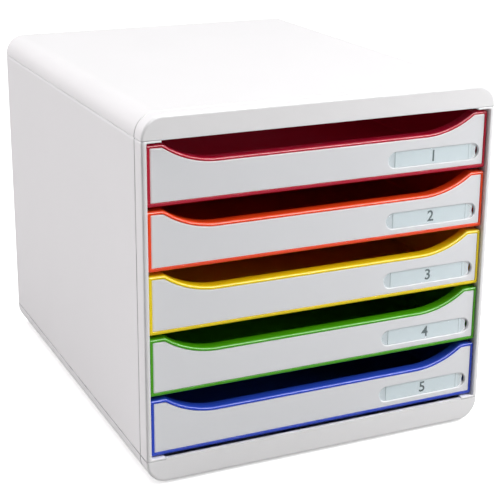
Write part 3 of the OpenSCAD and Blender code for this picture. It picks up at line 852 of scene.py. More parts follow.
def wall_layer(c, box, z, inset=0.0):
    """One level of a side panel: outer line with rounded corners and the groove, inner line with
    the wide upright in front and the strip at the back. x runs across, y along both lines. The
    upright's inner edge is rounded by q - sqrt(q^2 - (q - d)^2)."""
    half, front, back = box[1].x, box[0].y, box[1].y
    r, q = c.edge_radius, c.jamb_round
    s, k = quarter(5)
    soft = 0.06 * MM
    across, groove_dip = groove_section(front + c.groove_place, c.groove_depth)
    y = np.concatenate([
        front + r - r * k, [front + c.jamb_depth - soft, front + c.jamb_depth], across,
        np.linspace(across[-1], back - c.wall - BOND, 6)[1:-1],
        [back - c.wall - soft, back - c.wall], (back - r + r * k)[::-1],
    ])
    bend, dip = len(s), np.zeros(len(y))
    dip[:bend] = r - r * s
    dip[bend + 2:bend + 2 + len(across)] = groove_dip
    dip[-bend:] = (r - r * s)[::-1]
    outer = half - dip
    inner = np.full(len(y), half - c.wall)
    inner[:bend + 1] = half - c.jamb_width
    near = np.clip(y - front, 0, q)
    inner += np.where(y - front < q, q - np.sqrt(np.maximum(q * q - (q - near) ** 2, 0)), 0)
    inner[-bend - 1:] = half - c.back_strip
    return ruled([line(inner + inset, y, z), line(outer - inset, y, z)], [2])


def side_parts(side):
    """The right-hand side panel, mirrored for the left: wall with upright and back strip, flanges
    with fillets, ledges, stop nibs and the channel rib of the back panel."""
    c = bpy.context.scene.tower_casing
    t = bpy.context.scene.tower_tray
    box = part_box("right_side")
    z0, z1 = box[0].z, box[1].z
    half, front, back = box[1].x, box[0].y, box[1].y
    parts = loft([wall_layer(c, box, z, e) for e, z in rounded(z0, z1, c.wall_round)])
    inner = half - c.wall
    flange = half - c.flange_width
    hair, end_gap, soft, play = 0.04 * MM, 0.1 * MM, 0.4 * MM, 0.2 * MM
    for a, b in ((z0, z0 + c.flange_thickness), (z1 - c.flange_thickness, z1)):
        parts += block(flange, inner + 2 * BOND, front + hair, back - end_gap, a, b, soft)
    for up, z in ((1, z0 + c.flange_thickness), (-1, z1 - c.flange_thickness)):
        parts += fillet_parts(c, half - c.jamb_width, front, z, up)
    for n in DRAWERS:
        drawer = Front(n)
        if n < DRAWERS[-1]:
            parts += ledge_parts(c, half, front, back, drawer.z - 2 * t.skid_height + play)
        stop = drawer.z + t.height - t.lug_height
        nib = front + c.ledge_front
        parts += block(drawer.half - t.inset + c.stop_gap, inner + BOND, nib, nib + c.nib,
                       stop, stop + t.lug_height, NIB_ROUND)
    bar = back - c.wall - 2 * c.sheet_fit - c.sheet - c.rib
    parts += block(inner - c.channel, inner + BOND, bar, bar + c.rib, z0, z1, NIB_ROUND)
    return turned(parts, [[side, 0, 0], [0, 1, 0], [0, 0, 1]])


def fillet_parts(c, jamb, front, z, up):
    """Fillet between a flange at height z and the upright: f * sin(bend) across from its start,
    and f - f * cos(bend) away from the flange."""
    f, sunk = c.flange_fillet, 0.3 * MM
    bend = np.linspace(0, math.pi / 2, 9)
    x = jamb - f + f * np.sin(bend)
    arc = z + up * (f - f * np.cos(bend))
    ends = (front + sunk, front + c.jamb_depth)
    return loft([ruled([line(x, y, z - up * sunk), line(x, y, arc)], [1]) for y in ends])


def ledge_parts(c, half, front, back, top):
    """One ledge: a plate whose inner edge tapers at the front, with rounded long edges."""
    inner = half - c.wall
    r, soft, bend = 0.5 * MM, 0.4 * MM, 0.1 * MM
    y0, y1 = front + c.ledge_front, back - c.ledge_back
    y = np.array([y0, y0 + r, y0 + c.ledge_taper, y0 + c.ledge_taper + r, y1 - r, y1])
    x = inner - c.ledge + np.array([c.ledge_cut + soft, c.ledge_cut - bend, bend, 0, 0, soft])
    return loft([ruled([line(x + e, y, z), line(inner + BOND, y, z)], [1])
                 for e, z in rounded(top - c.ledge_thickness, top, r)])


class TOWER_OT_side_panels(bpy.types.Operator):
    """Make the two side panels with their ledges"""

    bl_idname = "tower.side_panels"
    bl_label = "Side panels"

    def execute(self, context):
        for name, side in (("left_side", -1), ("right_side", 1)):
            piece(name + "_panel", side_parts(side), "casing", finish("casing"), [name])
        return {"FINISHED"}


def sheet_layer(half, z0, z1, y, beads, depth=0.0):
    """Upright rectangle with round corners at depth y. Each bead presses it in by depth times a
    smooth step, t * t * (3 - 2 t), of the distance inside the bead's slot outline."""
    r = 1 * MM
    c = bpy.context.scene.tower_casing
    h = c.bead_height
    s, k = quarter(4)
    end = half - c.bead_end
    tip = np.linspace(end - 0.9 * h, end + 0.2 * h, 14)
    x = np.concatenate([-half + r - r * k, -tip[::-1], tip, (half - r + r * k)[::-1]])
    lift = np.concatenate([r - r * s, tip * 0, tip * 0, (r - r * s)[::-1]])
    near = np.array([-0.62, -0.54, -0.46, -0.38, -0.3, 0, 0.3, 0.38, 0.46, 0.54, 0.62]) * h
    level = np.sort((np.array(beads)[:, None] + near).ravel())
    share = np.concatenate([[0], (level - z0) / (z1 - z0), [1]])[:, None]
    z = (z0 + lift) * (1 - share) + (z1 - lift) * share
    over = np.maximum(np.abs(x) - (end - h / 2), 0) + 0 * z
    slope = 0.14 * h
    t = np.max([(h / 2 - np.hypot(over, z - b)) / slope for b in beads], axis=0)
    t = np.clip(t, 0, 1)
    return line(x + 0 * z, y - depth * t * t * (3 - 2 * t), z)


class TOWER_OT_back_panel(bpy.types.Operator):
    """Make the back panel with its pressed beads"""

    bl_idname = "tower.back_panel"
    bl_label = "Back panel"

    def execute(self, context):
        c = context.scene.tower_casing
        t = c.sheet
        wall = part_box("right_side")
        low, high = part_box("back_panel")
        edge = wall[1].x - c.wall - c.sheet_fit
        field = wall[1].x - max(c.back_strip, c.flange_width) - c.sheet_gap
        front, back = low.y, high.y
        z0, z1 = wall[0].z + c.sheet_gap, wall[1].z - c.sheet_gap
        e0 = wall[0].z + c.flange_thickness + c.sheet_fit
        e1 = wall[1].z - c.flange_thickness - c.sheet_fit
        beads = [Front(n).z + Front(n).height / 2 for n in DRAWERS]
        s, k = quarter(4)
        r, q = 0.8 * MM, 0.3 * MM

        def body(inset, y, depth=0.0):
            """Layer of the raised field, set in evenly."""
            return sheet_layer(field - inset, z0 + inset, z1 - inset, y, beads, depth)

        def tongue(half, y):
            """Layer of the part that stands in the channels."""
            return sheet_layer(half, e0, e1, y, beads)

        layers = [body(t + q, back - t, c.bead_depth), body(t, back - t - q), body(t, front)]
        layers += [tongue(edge - q, front), tongue(edge, front + q), tongue(edge, front + t - q),
                   tongue(edge - q, front + t), tongue(field + q, front + t), body(0, front + t)]
        layers += [body(r - r * b, back - r + r * a) for a, b in zip(s[:-1], k[:-1])]
        layers += [body(r, back, c.bead_depth)]
        sheet = loft(layers)
        piece("back_panel_sheet", sheet, "casing", finish("casing"), ["back_panel"])
        return {"FINISHED"}


class TOWER_OT_feet(bpy.types.Operator):
    """Make the four rubber feet with their moulded rings"""

    bl_idname = "tower.feet"
    bl_label = "Feet"

    def execute(self, context):
        s, k = quarter(5)
        q, sole = 0.8 * MM, 0.5 * MM
        bead, crest, bead_low, recess = 0.5 * MM, 0.2 * MM, 0.15 * MM, 0.02 * MM
        for name in ("foot_front_left", "foot_front_right", "foot_back_left", "foot_back_right"):
            low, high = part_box(name)
            r = (high.x - low.x) / 2
            rings = [(0, sole)]
            for ring in (2.2 * MM, 3.8 * MM, 5.4 * MM):
                rings += [(ring - bead, sole), (ring - crest, bead_low),
                          (ring + crest, bead_low), (ring + bead, sole)]
            rings += [(r - q - bead, sole), (r - q - 0.3 * MM, recess)]
            rings += [(r - q + q * a, q - q * b) for a, b in zip(s, k)]
            rings += [(r, high.z - 0.1 * MM), (r - 0.1 * MM, high.z), (0, high.z)]
            pad = lathe(rings, (low.x + high.x) / 2, (low.y + high.y) / 2)
            piece(name + "_pad", pad, "casing", finish("foot"), [name])
        return {"FINISHED"}


# ---------------------------------------------------------------- drawers


class Front:
    """Outline of one drawer front, with its underside at z = 0 and its face at y = 0."""

    def __init__(self, n):
        f = bpy.context.scene.tower_front
        label = bpy.context.scene.tower_label
        low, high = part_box("drawer_%d_front" % n)
        self.f, self.label = f, label
        self.half = high.x + f.border_side + f.panel_fit
        self.z = low.z - f.border_low - f.panel_fit
        self.height = high.z + f.border_top + f.panel_fit - self.z
        self.y = low.y - f.panel_back
        self.label_x = self.half - label.end - label.length / 2
        self.label_straight = (label.length - label.height) / 2
        self.label_end = self.label_x + self.label_straight
        self.label_radius = label.height / 2 + label.edge
        self.slot_radius = label.height / 2 - label.slot_edge
        self.slot_reach = math.asin(label.slot_height / 2 / self.slot_radius)

    def top(self, x, inset):
        """Height of the upper edge over x, set in by inset: level ends, a convex shoulder arc, a
        concave arc tangent to it, and a level middle."""
        f = self.f
        x = np.abs(x)
        middle = self.height - f.scoop_drop
        flat = f.scoop_flat / 2
        drop = middle + f.scoop_radius - (self.height - f.shoulder_radius)
        reach = math.sqrt((f.scoop_radius + f.shoulder_radius) ** 2 - drop ** 2)
        shoulder = flat + reach
        share = (f.shoulder_radius - inset) / (f.scoop_radius + f.shoulder_radius)
        tangent = shoulder - share * reach
        rise = np.sqrt(np.maximum((f.scoop_radius + inset) ** 2 - (x - flat) ** 2, 0))
        fall = np.sqrt(np.maximum((f.shoulder_radius - inset) ** 2 - (shoulder - x) ** 2, 0))
        z = np.where(x < flat, middle - inset, middle + f.scoop_radius - rise)
        z = np.where(x > tangent, self.height - f.shoulder_radius + fall, z)
        return np.where(x > shoulder, self.height - inset, z)

    def columns(self, extra):
        """Places across the front where its outline is sampled, denser along the arcs."""
        right = np.concatenate([
            np.linspace(0, 82, 9), np.linspace(82, 119, 25)[1:], np.linspace(119, 124, 15)[1:],
            [126, 128, 129.8],
        ]) * MM
        apart = 0.25 * MM
        far = np.abs(right[:, None] - np.abs(extra)[None]).min(1) > apart
        right = right[far | (right < 1e-9)]
        return np.unique(np.round(np.concatenate([-right, right, extra]), 7))

    def layer(self, side, low, top, corner, y, columns, gap, y_low=None):
        """Lines of one layer, set in by side, low and top: lower edge, lower and upper edge of the
        gap round the label's middle, and upper edge. gap(x) is half the gap's height. The lower
        edge may lie at a depth of its own, y_low, to which the corners ease by sin(turn)^2."""
        s, c = quarter(4)
        end = self.half - side - corner + corner * c
        x = np.concatenate([-end, columns, end[::-1]])
        lift = np.concatenate([corner - corner * s, columns * 0, (corner - corner * s)[::-1]])
        middle = self.label.middle
        open_half = gap(x)
        upper = self.top(x, top) - lift
        low_y = y if y_low is None else y_low
        ease = np.concatenate([s * s, columns * 0 + 1, (s * s)[::-1]])
        return [line(x, y + (low_y - y) * ease, low + lift), line(x, y, middle - open_half),
                line(x, y, middle + open_half), line(x, y, upper)]

    def placed(self, parts):
        """Parts made in the front's own frame, moved to its place."""
        return turned(parts, [[1, 0, 0, 0], [0, 1, 0, self.y], [0, 0, 1, self.z]])


def solid_layer(lines):
    """Grid of a layer without an opening."""
    return ruled([lines[0], (lines[1] + lines[2]) / 2, lines[3]], [3, 4])


def holed_layer(lines):
    """The two grids below and above a layer's opening."""
    return grid(ruled(lines[:2], [3])) + grid(ruled(lines[2:], [4]))


def slot_oval(front):
    """The oval way through front and panel behind the crescent slot: centre, half width and half
    height."""
    label = front.label
    end = front.label_x + label.length / 2
    right = end + label.way_right
    left = end - label.slot_edge - label.slot - label.way_left
    return (left + right) / 2, (right - left) / 2, label.slot_height / 2 + label.way_left


def oval_columns(front, n=7):
    """Columns of the oval: centre - half width * cos(turn)."""
    cx, a, _ = slot_oval(front)
    return np.round(cx - a * np.cos(np.linspace(0, math.pi, 2 * n + 1)), 7)


def oval_gap(front):
    """Half the oval's height over x: b * sqrt(1 - ((x - cx) / a)^2)."""
    cx, a, b = slot_oval(front)

    def half(x):
        """Half the height over x."""
        share = (x - cx) / a
        return b * np.sqrt(np.clip(1 - share ** 2, 0, 1)) * (np.abs(share) < 0.9999)

    return half


def border_parts(front):
    """The coloured border with its lip: layers run from the recess floor up the inner wall, over
    the rounded inner edge, across the face, over the outer edge, back along the lip, round its end
    and along its inside to the back of the front."""
    f = front.f
    extra = oval_columns(front)
    columns = front.columns(extra)
    gap = oval_gap(front)
    ri, ro, re, fillet = f.inner_round, f.edge_round, 0.6 * MM, 0.8 * MM
    bevel, least, cut = 0.3 * MM, 0.15 * MM, 0.3
    s, c = quarter(5)
    side, low, top = f.border_side, f.border_low, f.border_top
    back, lip, t = f.front_depth, f.lip_depth, f.lip_thickness

    def at(inset, y, y_low=None, corner=None):
        """Layer set in evenly from the outer outline."""
        r = max(f.corner - inset, least) if corner is None else corner
        return front.layer(inset, inset, inset, r, y, columns, gap, y_low)

    def border(less, y):
        """Layer set in by the border's own widths, less the same amount all round."""
        r = f.panel_corner + less
        return front.layer(side - less, low - less, top - less, r, y, columns, gap)

    def face(inset, y):
        """Layer of the outer edge's rounding, which is narrower at the sides."""
        across = f.edge_side * inset / ro
        return front.layer(across, inset, inset, max(f.corner - inset, least), y, columns, gap)

    def inside(inset, y):
        """Layer of the lip's inside."""
        return at(inset, y, back, re)

    floor = border(0, f.panel_sink)
    rings = [floor, border(0, ri)]
    rings += [border(ri * (1 - b), ri * (1 - a)) for a, b in zip(s[1:], c[1:])]
    rings += [face(ro * (1 - a), ro * (1 - b)) for a, b in zip(s, c)]
    rings += [at(0, lip - re, back - bevel)]
    rings += [at(re * (1 - b), lip - re + re * a, back - bevel + bevel * a)
              for a, b in zip(s[1:], c[1:])]
    rings += [inside(t - re, lip), inside(t - cut * re, lip - cut * re), inside(t, lip - re),
              inside(t, back + fillet), inside(t + cut * fillet, back + cut * fillet),
              inside(t + fillet, back)]
    parts = loft([solid_layer(r) for r in rings], False, False)
    parts += holed_layer(floor) + holed_layer(rings[-1])
    x = floor[0][:, 0]
    hole = (x >= extra[0] - 1e-6) & (x <= extra[-1] + 1e-6)
    for k in (1, 2):
        parts += grid(np.stack([floor[k][hole], rings[-1][k][hole]]))
    return parts


def tray_layer(front, inset, z, root_z=None):
    """One level of the tray: rows run back along the sides and round the back corners, where the
    half width is T - r + (r - inset) * cos(turn); columns share it evenly. The first row lies
    inside the front, at a height of its own where root_z gives one."""
    t = bpy.context.scene.tower_tray
    s, c = quarter(6)
    half = front.half - t.inset
    r = t.corner
    end = t.length - r
    root, face = 2.9 * MM + 0.3 * inset, 4.3 * MM
    y = np.concatenate([[root], np.linspace(face, end, 6), end + (r - inset) * s[1:]])
    x = np.concatenate([np.full(7, half - inset), half - r + (r - inset) * c[1:]])
    share = np.linspace(-1, 1, 9)[:, None]
    out = line(share * x, y, z)
    if root_z is not None:
        out[:, 0, 2] = root_z
    return out.transpose(1, 0, 2)


def tray_parts(front):
    """The tray: outer floor, rounded lower edge, wall, rounded rim, inner wall, fillet and floor,
    with skids, stop lugs and the webs below the lip. Rims and fillets run round quarter turns."""
    t = bpy.context.scene.tower_tray
    f = front.f
    s, c = quarter(5)
    ro, w, rf = t.floor_round, t.wall, t.floor_fillet
    rr = w / 2
    hidden, spread = 8 * MM, 0.1 * MM
    crest = t.height - rr
    layers = [tray_layer(front, ro * (1 - a), ro * (1 - b)) for a, b in zip(s, c)]
    layers += [tray_layer(front, 0, hidden)]
    layers += [tray_layer(front, rr * (1 - b), crest + rr * a, hidden + spread * a)
               for a, b in zip(s, c)]
    layers += [tray_layer(front, rr * (1 + a), crest + rr * b, hidden + spread * (1 + a))
               for a, b in zip(s[1:], c[1:])]
    layers += [tray_layer(front, w, hidden), tray_layer(front, w, w + rf)]
    layers += [tray_layer(front, w + rf * (1 - b), w + rf * (1 - a)) for a, b in zip(s[1:], c[1:])]
    parts = loft(layers)
    half = front.half - t.inset
    casing = bpy.context.scene.tower_casing
    lug_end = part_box("right_side")[1].x - casing.wall - casing.stop_gap
    sunk, skid_round = 0.4 * MM, 0.2 * MM
    for side in (-1, 1):
        x0, x1 = sorted((side * (half - w / 2 - t.skid), side * (half - w / 2)))
        parts += block(x0, x1, f.front_depth, t.length - t.corner, -t.skid_height, sunk, skid_round)
        x0, x1 = sorted((side * (half - sunk), side * lug_end))
        parts += block(x0, x1, t.lug_place, t.lug_place + t.lug_length, t.height - t.lug_height,
                       t.height, NIB_ROUND)
    valley = front.height - f.scoop_drop
    y = np.array([f.front_depth - sunk, f.lip_depth - 0.6 * MM])
    lower = valley - f.lip_thickness + np.array([-t.gusset_height, 0.0])
    for i in (-2, -1, 0, 1, 2):
        sides = [i * t.gusset_pitch + d for d in (-t.gusset / 2, t.gusset / 2)]
        parts += loft([ruled([line(x, y, lower), line(x, y, valley - 2 * BOND)], [2])
                       for x in sides])
    return parts


class TOWER_OT_drawers(bpy.types.Operator):
    """Make the five coloured drawers with their lips"""

    bl_idname = "tower.drawers"
    bl_label = "Drawers"

    def execute(self, context):
        for n in DRAWERS:
            front = Front(n)
            parts = front.placed(border_parts(front) + tray_parts(front))
            slot = PLASTICS[n - 1]
            piece("drawer_%d_moulding" % n, parts, "drawer_%d" % n, finish(slot),
                  ["drawer_%d_tray" % n])
        return {"FINISHED"}


def stadium_gap(front):
    """Half the label recess's height over x: level in the middle, sqrt(r^2 - d^2) over its ends."""
    r = front.label_radius

    def half(x):
        """Half the height over x."""
        d = np.maximum(np.abs(x - front.label_x) - front.label_straight, 0)
        return np.sqrt(np.maximum(r * r - d * d, 0)) * (d < r * 0.99999)

    return half


def stadium_columns(front, n=7):
    """Columns of the label recess: straight + r * cos(turn) round its ends, with even turns up to
    the crescent slot's tip and even turns beyond."""
    tip, straight = front.slot_reach, front.label_straight
    turn = np.concatenate([np.linspace(0, tip, n), np.linspace(tip, math.pi / 2, n + 1)[1:]])
    end = straight + front.label_radius * np.cos(turn)
    middle = np.linspace(-straight, straight, 7)[1:-1]
    return np.round(front.label_x + np.concatenate([-end, middle, end[::-1]]), 7)


def shrunk(front, x, half, less):
    """The recess outline's points when its end radius shrinks: they close in on the end centres."""
    straight = front.label_straight
    d = x - front.label_x
    over = np.maximum(np.abs(d) - straight, 0)
    share = (front.label_radius - less) / front.label_radius
    near = np.minimum(np.abs(d), straight) + over * share
    return front.label_x + np.sign(d) * near, half * share


def panel_parts(front):
    """The light panel: back, side, rounded edge and face as layers, then the label recess with a
    rounded edge, and its floor with the crescent slot, which runs through to the back."""
    f, label = front.f, front.label
    extra = stadium_columns(front)
    columns = front.columns(extra)
    gap = stadium_gap(front)
    s, c = quarter(5)
    wide, drop, face_y, soft = f.panel_bevel, f.panel_drop, f.panel_back, 0.25 * MM

    def at(inset, y):
        """Layer set in from the border's inner outline."""
        return front.layer(f.border_side + inset, f.border_low + inset, f.border_top + inset,
                           f.panel_corner, y, columns, gap)

    fit, start = f.panel_fit, face_y + drop
    rings = [at(fit, f.panel_sink), at(fit, start + soft)]
    rings += [at(fit + soft * (1 - b), start + soft * (1 - a)) for a, b in zip(s[1:], c[1:])]
    rings += [at(fit + soft + (wide - soft) * t, face_y + drop * (1 - t) ** 1.6)
              for t in np.linspace(0, 1, 6)[1:]]
    parts = loft([solid_layer(r) for r in rings], False, False)
    parts += holed_layer(rings[0]) + holed_layer(rings[-1])
    x = rings[0][0][:, 0]
    x = x[(x >= extra[0] - 1e-6) & (x <= extra[-1] + 1e-6)]
    half = gap(x)
    floor_y = face_y + label.sink
    grow = label.edge
    steps = [(grow * a, face_y + grow * (1 - b)) for a, b in zip(s, c)] + [(grow, floor_y)]
    for up in (1, -1):
        lines = []
        for less, y in steps:
            xs, hs = shrunk(front, x, half, less)
            lines.append(line(xs, y, label.middle + up * hs))
        parts += grid(np.stack(lines))
    parts += recess_floor(front, floor_y, x, half, grow)
    parts += recess_floor(front, f.panel_sink, x, half, 0.0)
    turn = slot_turns(front, x)
    turn = turn[np.abs(turn) <= front.slot_reach + 1e-6]
    for radius in (front.slot_radius - slot_width(front, turn), front.slot_radius + 0 * turn):
        xs, zs = slot_point(front, radius, turn)
        parts += grid(np.stack([line(xs, floor_y, zs), line(xs, f.panel_sink, zs)]))
    return parts


def slot_turns(front, x):
    """Turns of the recess's columns round its right end's centre, both ways from level:
    arccos(distance / radius)."""
    share = (x[x > front.label_end + 1e-6] - front.label_end) / front.label_radius
    turn = np.concatenate([np.arccos(np.clip(share, -1, 1)), [math.pi / 2]])
    turn[np.abs(turn) < 0.02] = 0
    return np.unique(np.concatenate([-turn, turn]))


def slot_width(front, turn):
    """Width of the crescent at a turn: width * cos(90 degrees * turn / reach)^0.8."""
    share = np.clip(np.abs(turn) / front.slot_reach, 0, 1)
    return front.label.slot * np.where(share > 0.999, 0, np.cos(share * math.pi / 2)) ** 0.8


def slot_point(front, radius, turn):
    """Place at a radius and turn about the centre of the recess's right end."""
    return front.label_end + radius * np.cos(turn), front.label.middle + radius * np.sin(turn)


def recess_floor(front, y, x, half, less):
    """Floor of the label recess at depth y: columns up to the right end's centre, then a fan round
    that centre, parted by the crescent slot."""
    xs, hs = shrunk(front, x, half, less)
    r = front.label_radius - less
    left = xs <= front.label_end + 1e-6
    outer = front.slot_radius
    share = np.array([-1, -outer / r, -0.5, 0, 0.5, outer / r, 1])
    z = front.label.middle + share[:, None] * hs[left]
    parts = grid(line(xs[left] + 0 * z, y, z))
    turn = slot_turns(front, x)
    flat = 0 * turn
    before = (flat, flat + 0.5 * r, outer - slot_width(front, turn))
    for rings in (before, (flat + outer, flat + r)):
        px, pz = slot_point(front, np.stack(rings), turn)
        parts += grid(line(px, y, pz))
    return parts


class TOWER_OT_panels(bpy.types.Operator):
    """Make the light front panels with their label recesses"""

    bl_idname = "tower.panels"
    bl_label = "Front panels"

    def execute(self, context):
        for n in DRAWERS:
            front = Front(n)
            parts = front.placed(panel_parts(front))
            piece("drawer_%d_panel" % n, parts, "drawer_%d" % n, finish("panel"),
                  ["drawer_%d_front" % n])
        return {"FINISHED"}


def number_mesh(digit, height):
    """Thin plate in the shape of a plain number, centred on the origin: a mesh with its points, and
    which of them belong to the front."""
    bolder, thick = 0.016, 0.01
    curve = bpy.data.curves.new("number", "FONT")
    curve.body = str(digit)
    curve.fill_mode = "BOTH"
    curve.offset = bolder
    curve.extrude = thick
    temp = bpy.data.objects.new("number", curve)
    bpy.context.scene.collection.objects.link(temp)
    bpy.context.view_layer.update()
    shown = temp.evaluated_get(bpy.context.evaluated_depsgraph_get())
    mesh = bpy.data.meshes.new_from_object(shown)
    bpy.data.objects.remove(temp)
    bpy.data.curves.remove(curve)
    co = np.zeros(len(mesh.vertices) * 3, np.float32)
    mesh.vertices.foreach_get("co", co)
    co = co.reshape(-1, 3)
    low, high = co.min(0), co.max(0)
    flat = (co - (low + high) / 2) * height / (high[1] - low[1])
    return mesh, flat, co[:, 2] > 0


def card_parts(low, high):
    """The paper slip: a thin block laid upright, set in from the recess's walls by the rim."""
    label = bpy.context.scene.tower_label
    soft, corner = 0.05 * MM, 0.3 * MM
    parts = block(low.x, high.x, low.z + label.rim, high.z - label.rim_top, -high.y, -low.y,
                  soft, corner)
    return turned(parts, [[1, 0, 0], [0, 0, -1], [0, 1, 0]])


def glaze_parts(low, high):
    """The clear window: layers with round ends and rounded edges, laid upright."""
    label = bpy.context.scene.tower_label
    soft, behind = 0.25 * MM, 0.15 * MM
    x0, x1 = low.x + label.rim, high.x - label.rim - label.set_back
    z0, z1 = low.z + label.rim, high.z - label.rim_top
    r = (z1 - z0) / 2
    return turned(loft([plate(x0 + e, x1 - e, z0 + e, z1 - e, r - e, y, 5)
                        for e, y in rounded(low.y, high.y - behind, soft)]),
                  [[1, 0, 0], [0, 0, 1], [0, 1, 0]])


def print_number(n, low, high):
    """Prints the drawer's number on the middle of its slip: the plate's points, moved there, with
    the front ones standing out by the ink's thickness."""
    label = bpy.context.scene.tower_label
    sunk, weld = 0.01 * MM, 0.002 * MM
    mesh, flat, raised = number_mesh(n, label.number_height)
    place = line(flat[:, 0] + (low.x + high.x) / 2, low.y + sunk - raised * label.ink_depth,
                 flat[:, 1] + (low.z + high.z) / 2)
    mesh.vertices.foreach_set("co", place.astype(np.float32).ravel())
    merge(mesh, weld)
    mesh.update()
    mesh.materials.clear()
    mesh.materials.append(finish("ink"))
    digit = bpy.data.objects.new("drawer_%d_number" % n, mesh)
    bpy.context.scene.collection.objects.link(digit)
    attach(digit, "drawer_%d" % n)


class TOWER_OT_labels(bpy.types.Operator):
    """Make the paper slips with their plain numbers, and the clear windows"""

    bl_idname = "tower.labels"
    bl_label = "Labels"

    def execute(self, context):
        for n in DRAWERS:
            body, slip, window = ("drawer_%d" % n + end for end in ("", "_slip", "_window"))
            low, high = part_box(slip)
            piece(body + "_card", card_parts(low, high), body, finish("slip"), [slip])
            print_number(n, low, high)
            glaze = glaze_parts(*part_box(window))
            piece(body + "_glaze", glaze, body, finish("window"), [window])
        return {"FINISHED"}


# ---------------------------------------------------------------- studio


def floor_finish(seen, lighting):
    """Pale paper that the eye sees at full brightness and that throws back less light."""
    mat = plastic("Floor paper", seen, seen, 0.9, 0.05, 900, 0.1, 0.1,
                  dust=0.0, ior=1.2, clouds=0.0)
    tree = mat.node_tree
    shader = tree.nodes["Principled BSDF"].inputs
    paper = shader["Base Color"].links[0].from_socket
    eye = node(tree, "ShaderNodeLightPath", (-500, 500)).outputs["Is Camera Ray"]
    feed(tree, shader["Base Color"], blend(tree, (-250, 400), eye, opaque(lighting), paper))
    feed(tree, shader["Emission Color"], blend(tree, (-250, 700), eye, (0, 0, 0, 1), paper))
    shader["Emission Strength"].default_value = 0.55
    return mat


def aim(obj, place, target):
    """Puts a light at a place and turns it to face the target."""
    obj.location = place
    obj.rotation_euler = (Vector(target) - Vector(place)).to_track_quat("-Z", "Y").to_euler()


def sun(name, strength, angle, place):
    """A wide, even light from the direction of a place, as wide as the angle in degrees."""
    data = bpy.data.lights.new(name, "SUN")
    data.energy = strength
    data.angle = math.radians(angle)
    obj = bpy.data.objects.new(name, data)
    bpy.context.scene.collection.objects.link(obj)
    aim(obj, place, (0, 0, 0))
    return obj


def softbox(name, power, size_x, size_y, place, target):
    """A rectangular softbox."""
    data = bpy.data.lights.new(name, "AREA")
    data.shape = "RECTANGLE"
    data.size, data.size_y = size_x, size_y
    data.energy = power
    obj = bpy.data.objects.new(name, data)
    bpy.context.scene.collection.objects.link(obj)
    aim(obj, place, target)
    obj.visible_camera = False
    return obj


def studio_sky(strength):
    """White sky, seen at full brightness, whose light has the given strength."""
    world = bpy.data.worlds.new("Studio sky")
    world.use_nodes = True
    tree = world.node_tree
    sky = tree.nodes["Background"].inputs
    path = node(tree, "ShaderNodeLightPath", (-600, 0))
    shown = node(tree, "ShaderNodeMapRange", (-300, 0), in_To_Min=strength)
    feed(tree, shown.inputs["Value"], path.outputs["Is Camera Ray"])
    feed(tree, sky["Color"], (1, 1, 1, 1))
    feed(tree, sky["Strength"], shown.outputs["Result"])
    return world


def studio_floor(color, bounce):
    """Wide flat floor, a grid of points at z = 0, which throws back a share of its light."""
    half = 12.0
    share = np.linspace(-1, 1, 9)
    points = np.stack(np.meshgrid(share * half, share * half, [0.0], indexing="ij"), -1)
    mesh = bpy.data.meshes.new("floor")
    mesh.from_pydata(points.reshape(-1, 3).tolist(), [], quads((9, 9))[:, ::-1].tolist())
    mesh.materials.append(floor_finish(color, darker(color, bounce)))
    floor = bpy.data.objects.new("floor", mesh)
    bpy.context.scene.collection.objects.link(floor)


def studio_camera(settings):
    """Camera at a distance from the target, in the direction of azimuth a and elevation e:
    forward = (-sin a cos e, cos a cos e, -sin e). It is moved a little across and up, turned
    about its axis by the roll, and its lens is shifted."""
    azimuth, elevation, roll = (math.radians(v) for v in (-24.26, 17.52, 0.27))
    target, across, raised = Vector((0, 0, 0.13)), 9.8 * MM, 2.4 * MM
    data = bpy.data.cameras.new("Camera")
    data.lens = settings.focal_length
    data.sensor_width = 36.0
    data.shift_x, data.shift_y = 0.0198, -0.0582
    data.clip_start, data.clip_end = 0.01, 50.0
    camera = bpy.data.objects.new("Camera", data)
    bpy.context.scene.collection.objects.link(camera)
    level = math.cos(elevation)
    forward = Vector((-math.sin(azimuth) * level, math.cos(azimuth) * level, -math.sin(elevation)))
    right = Vector((math.cos(azimuth), math.sin(azimuth), 0))
    up = right.cross(forward)
    place = target - forward * settings.distance + right * across + up * raised
    right, up = (right * math.cos(roll) + up * math.sin(roll),
                 up * math.cos(roll) - right * math.sin(roll))
    axes = Matrix((right, up, -forward)).transposed().to_4x4()
    camera.matrix_world = Matrix.Translation(place) @ axes
    return camera


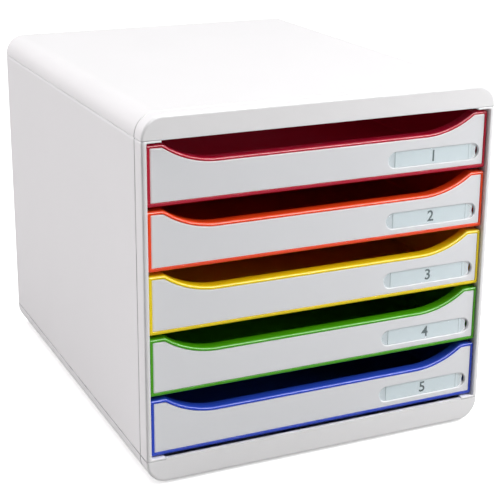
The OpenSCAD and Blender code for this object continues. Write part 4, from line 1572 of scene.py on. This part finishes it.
class TOWER_OT_studio(bpy.types.Operator):
    """Make the floor, the soft lights and the camera"""

    bl_idname = "tower.studio"
    bl_label = "Studio"

    def execute(self, context):
        scene = context.scene
        s = scene.tower_studio
        scene.world = studio_sky(s.sky)
        scene.view_settings.view_transform = "Standard"
        scene.view_settings.look = "None"
        studio_floor(tuple(scene.tower_finishes.floor), s.floor_bounce)
        sun("Top light", s.top_light, 60, (0.0, 0.1, 1.0))
        sun("Key light", s.key_light, 40, (0.65, -0.6, 1.0))
        side = sun("Side light", s.side_light, 50, (-1.0, 0.8, 0.5))
        side.data.color = (1.0, 0.96, 0.98)
        softbox("Front light", s.front_light, 0.35, 0.5, (0.64, -0.5, 0.38), (0.15, -0.17, 0.12))
        strip = softbox("Strip light", s.strip_light, 2.0, 0.3,
                        (0.6, -0.9, 0.9), (0.6, -0.17, 0.13))
        strip.visible_diffuse = False
        glow = softbox("Cover glow", s.cover_glow, 0.22, 0.28, (0.0, 0.0, 0.262), (0.0, 0.0, 0.0))
        glow.visible_glossy = False
        scene.camera = studio_camera(s)
        return {"FINISHED"}


class TOWER_PT_sidebar(bpy.types.Panel):
    """Lists the tower's sizes, colours and pieces"""

    bl_idname = "TOWER_PT_sidebar"
    bl_label = "Drawer Tower"
    bl_space_type = "VIEW_3D"
    bl_region_type = "UI"
    bl_category = "Drawer Tower"

    def draw(self, context):
        for title, key, cls in GROUPS:
            box = self.layout.box()
            box.label(text=title)
            for prop in cls.__annotations__:
                box.prop(getattr(context.scene, key), prop)
        for cls in OPERATORS:
            self.layout.operator(cls.bl_idname)


GROUPS = (
    ("Casing", "tower_casing", TowerCasingSizes),
    ("Drawer fronts", "tower_front", TowerFrontSizes),
    ("Labels", "tower_label", TowerLabelSizes),
    ("Trays", "tower_tray", TowerTraySizes),
    ("Finishes", "tower_finishes", TowerFinishes),
    ("Studio", "tower_studio", TowerStudioSettings),
)
OPERATORS = (
    TOWER_OT_studio, TOWER_OT_covers, TOWER_OT_side_panels, TOWER_OT_back_panel, TOWER_OT_feet,
    TOWER_OT_drawers, TOWER_OT_panels, TOWER_OT_labels,
)


def register():
    """Registers the classes and hangs the settings on the scene."""
    for _, key, cls in GROUPS:
        bpy.utils.register_class(cls)
        setattr(bpy.types.Scene, key, bpy.props.PointerProperty(type=cls))
    for cls in OPERATORS + (TOWER_PT_sidebar,):
        bpy.utils.register_class(cls)


def unregister():
    """Takes the settings and the classes away again."""
    for cls in (TOWER_PT_sidebar,) + OPERATORS[::-1]:
        bpy.utils.unregister_class(cls)
    for _, key, cls in GROUPS[::-1]:
        delattr(bpy.types.Scene, key)
        bpy.utils.unregister_class(cls)


def main():
    """Registers the add-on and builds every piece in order."""
    register()
    for cls in OPERATORS:
        group_name, name = cls.bl_idname.split(".")
        getattr(getattr(bpy.ops, group_name), name)()


if __name__ == "__main__":
    main()
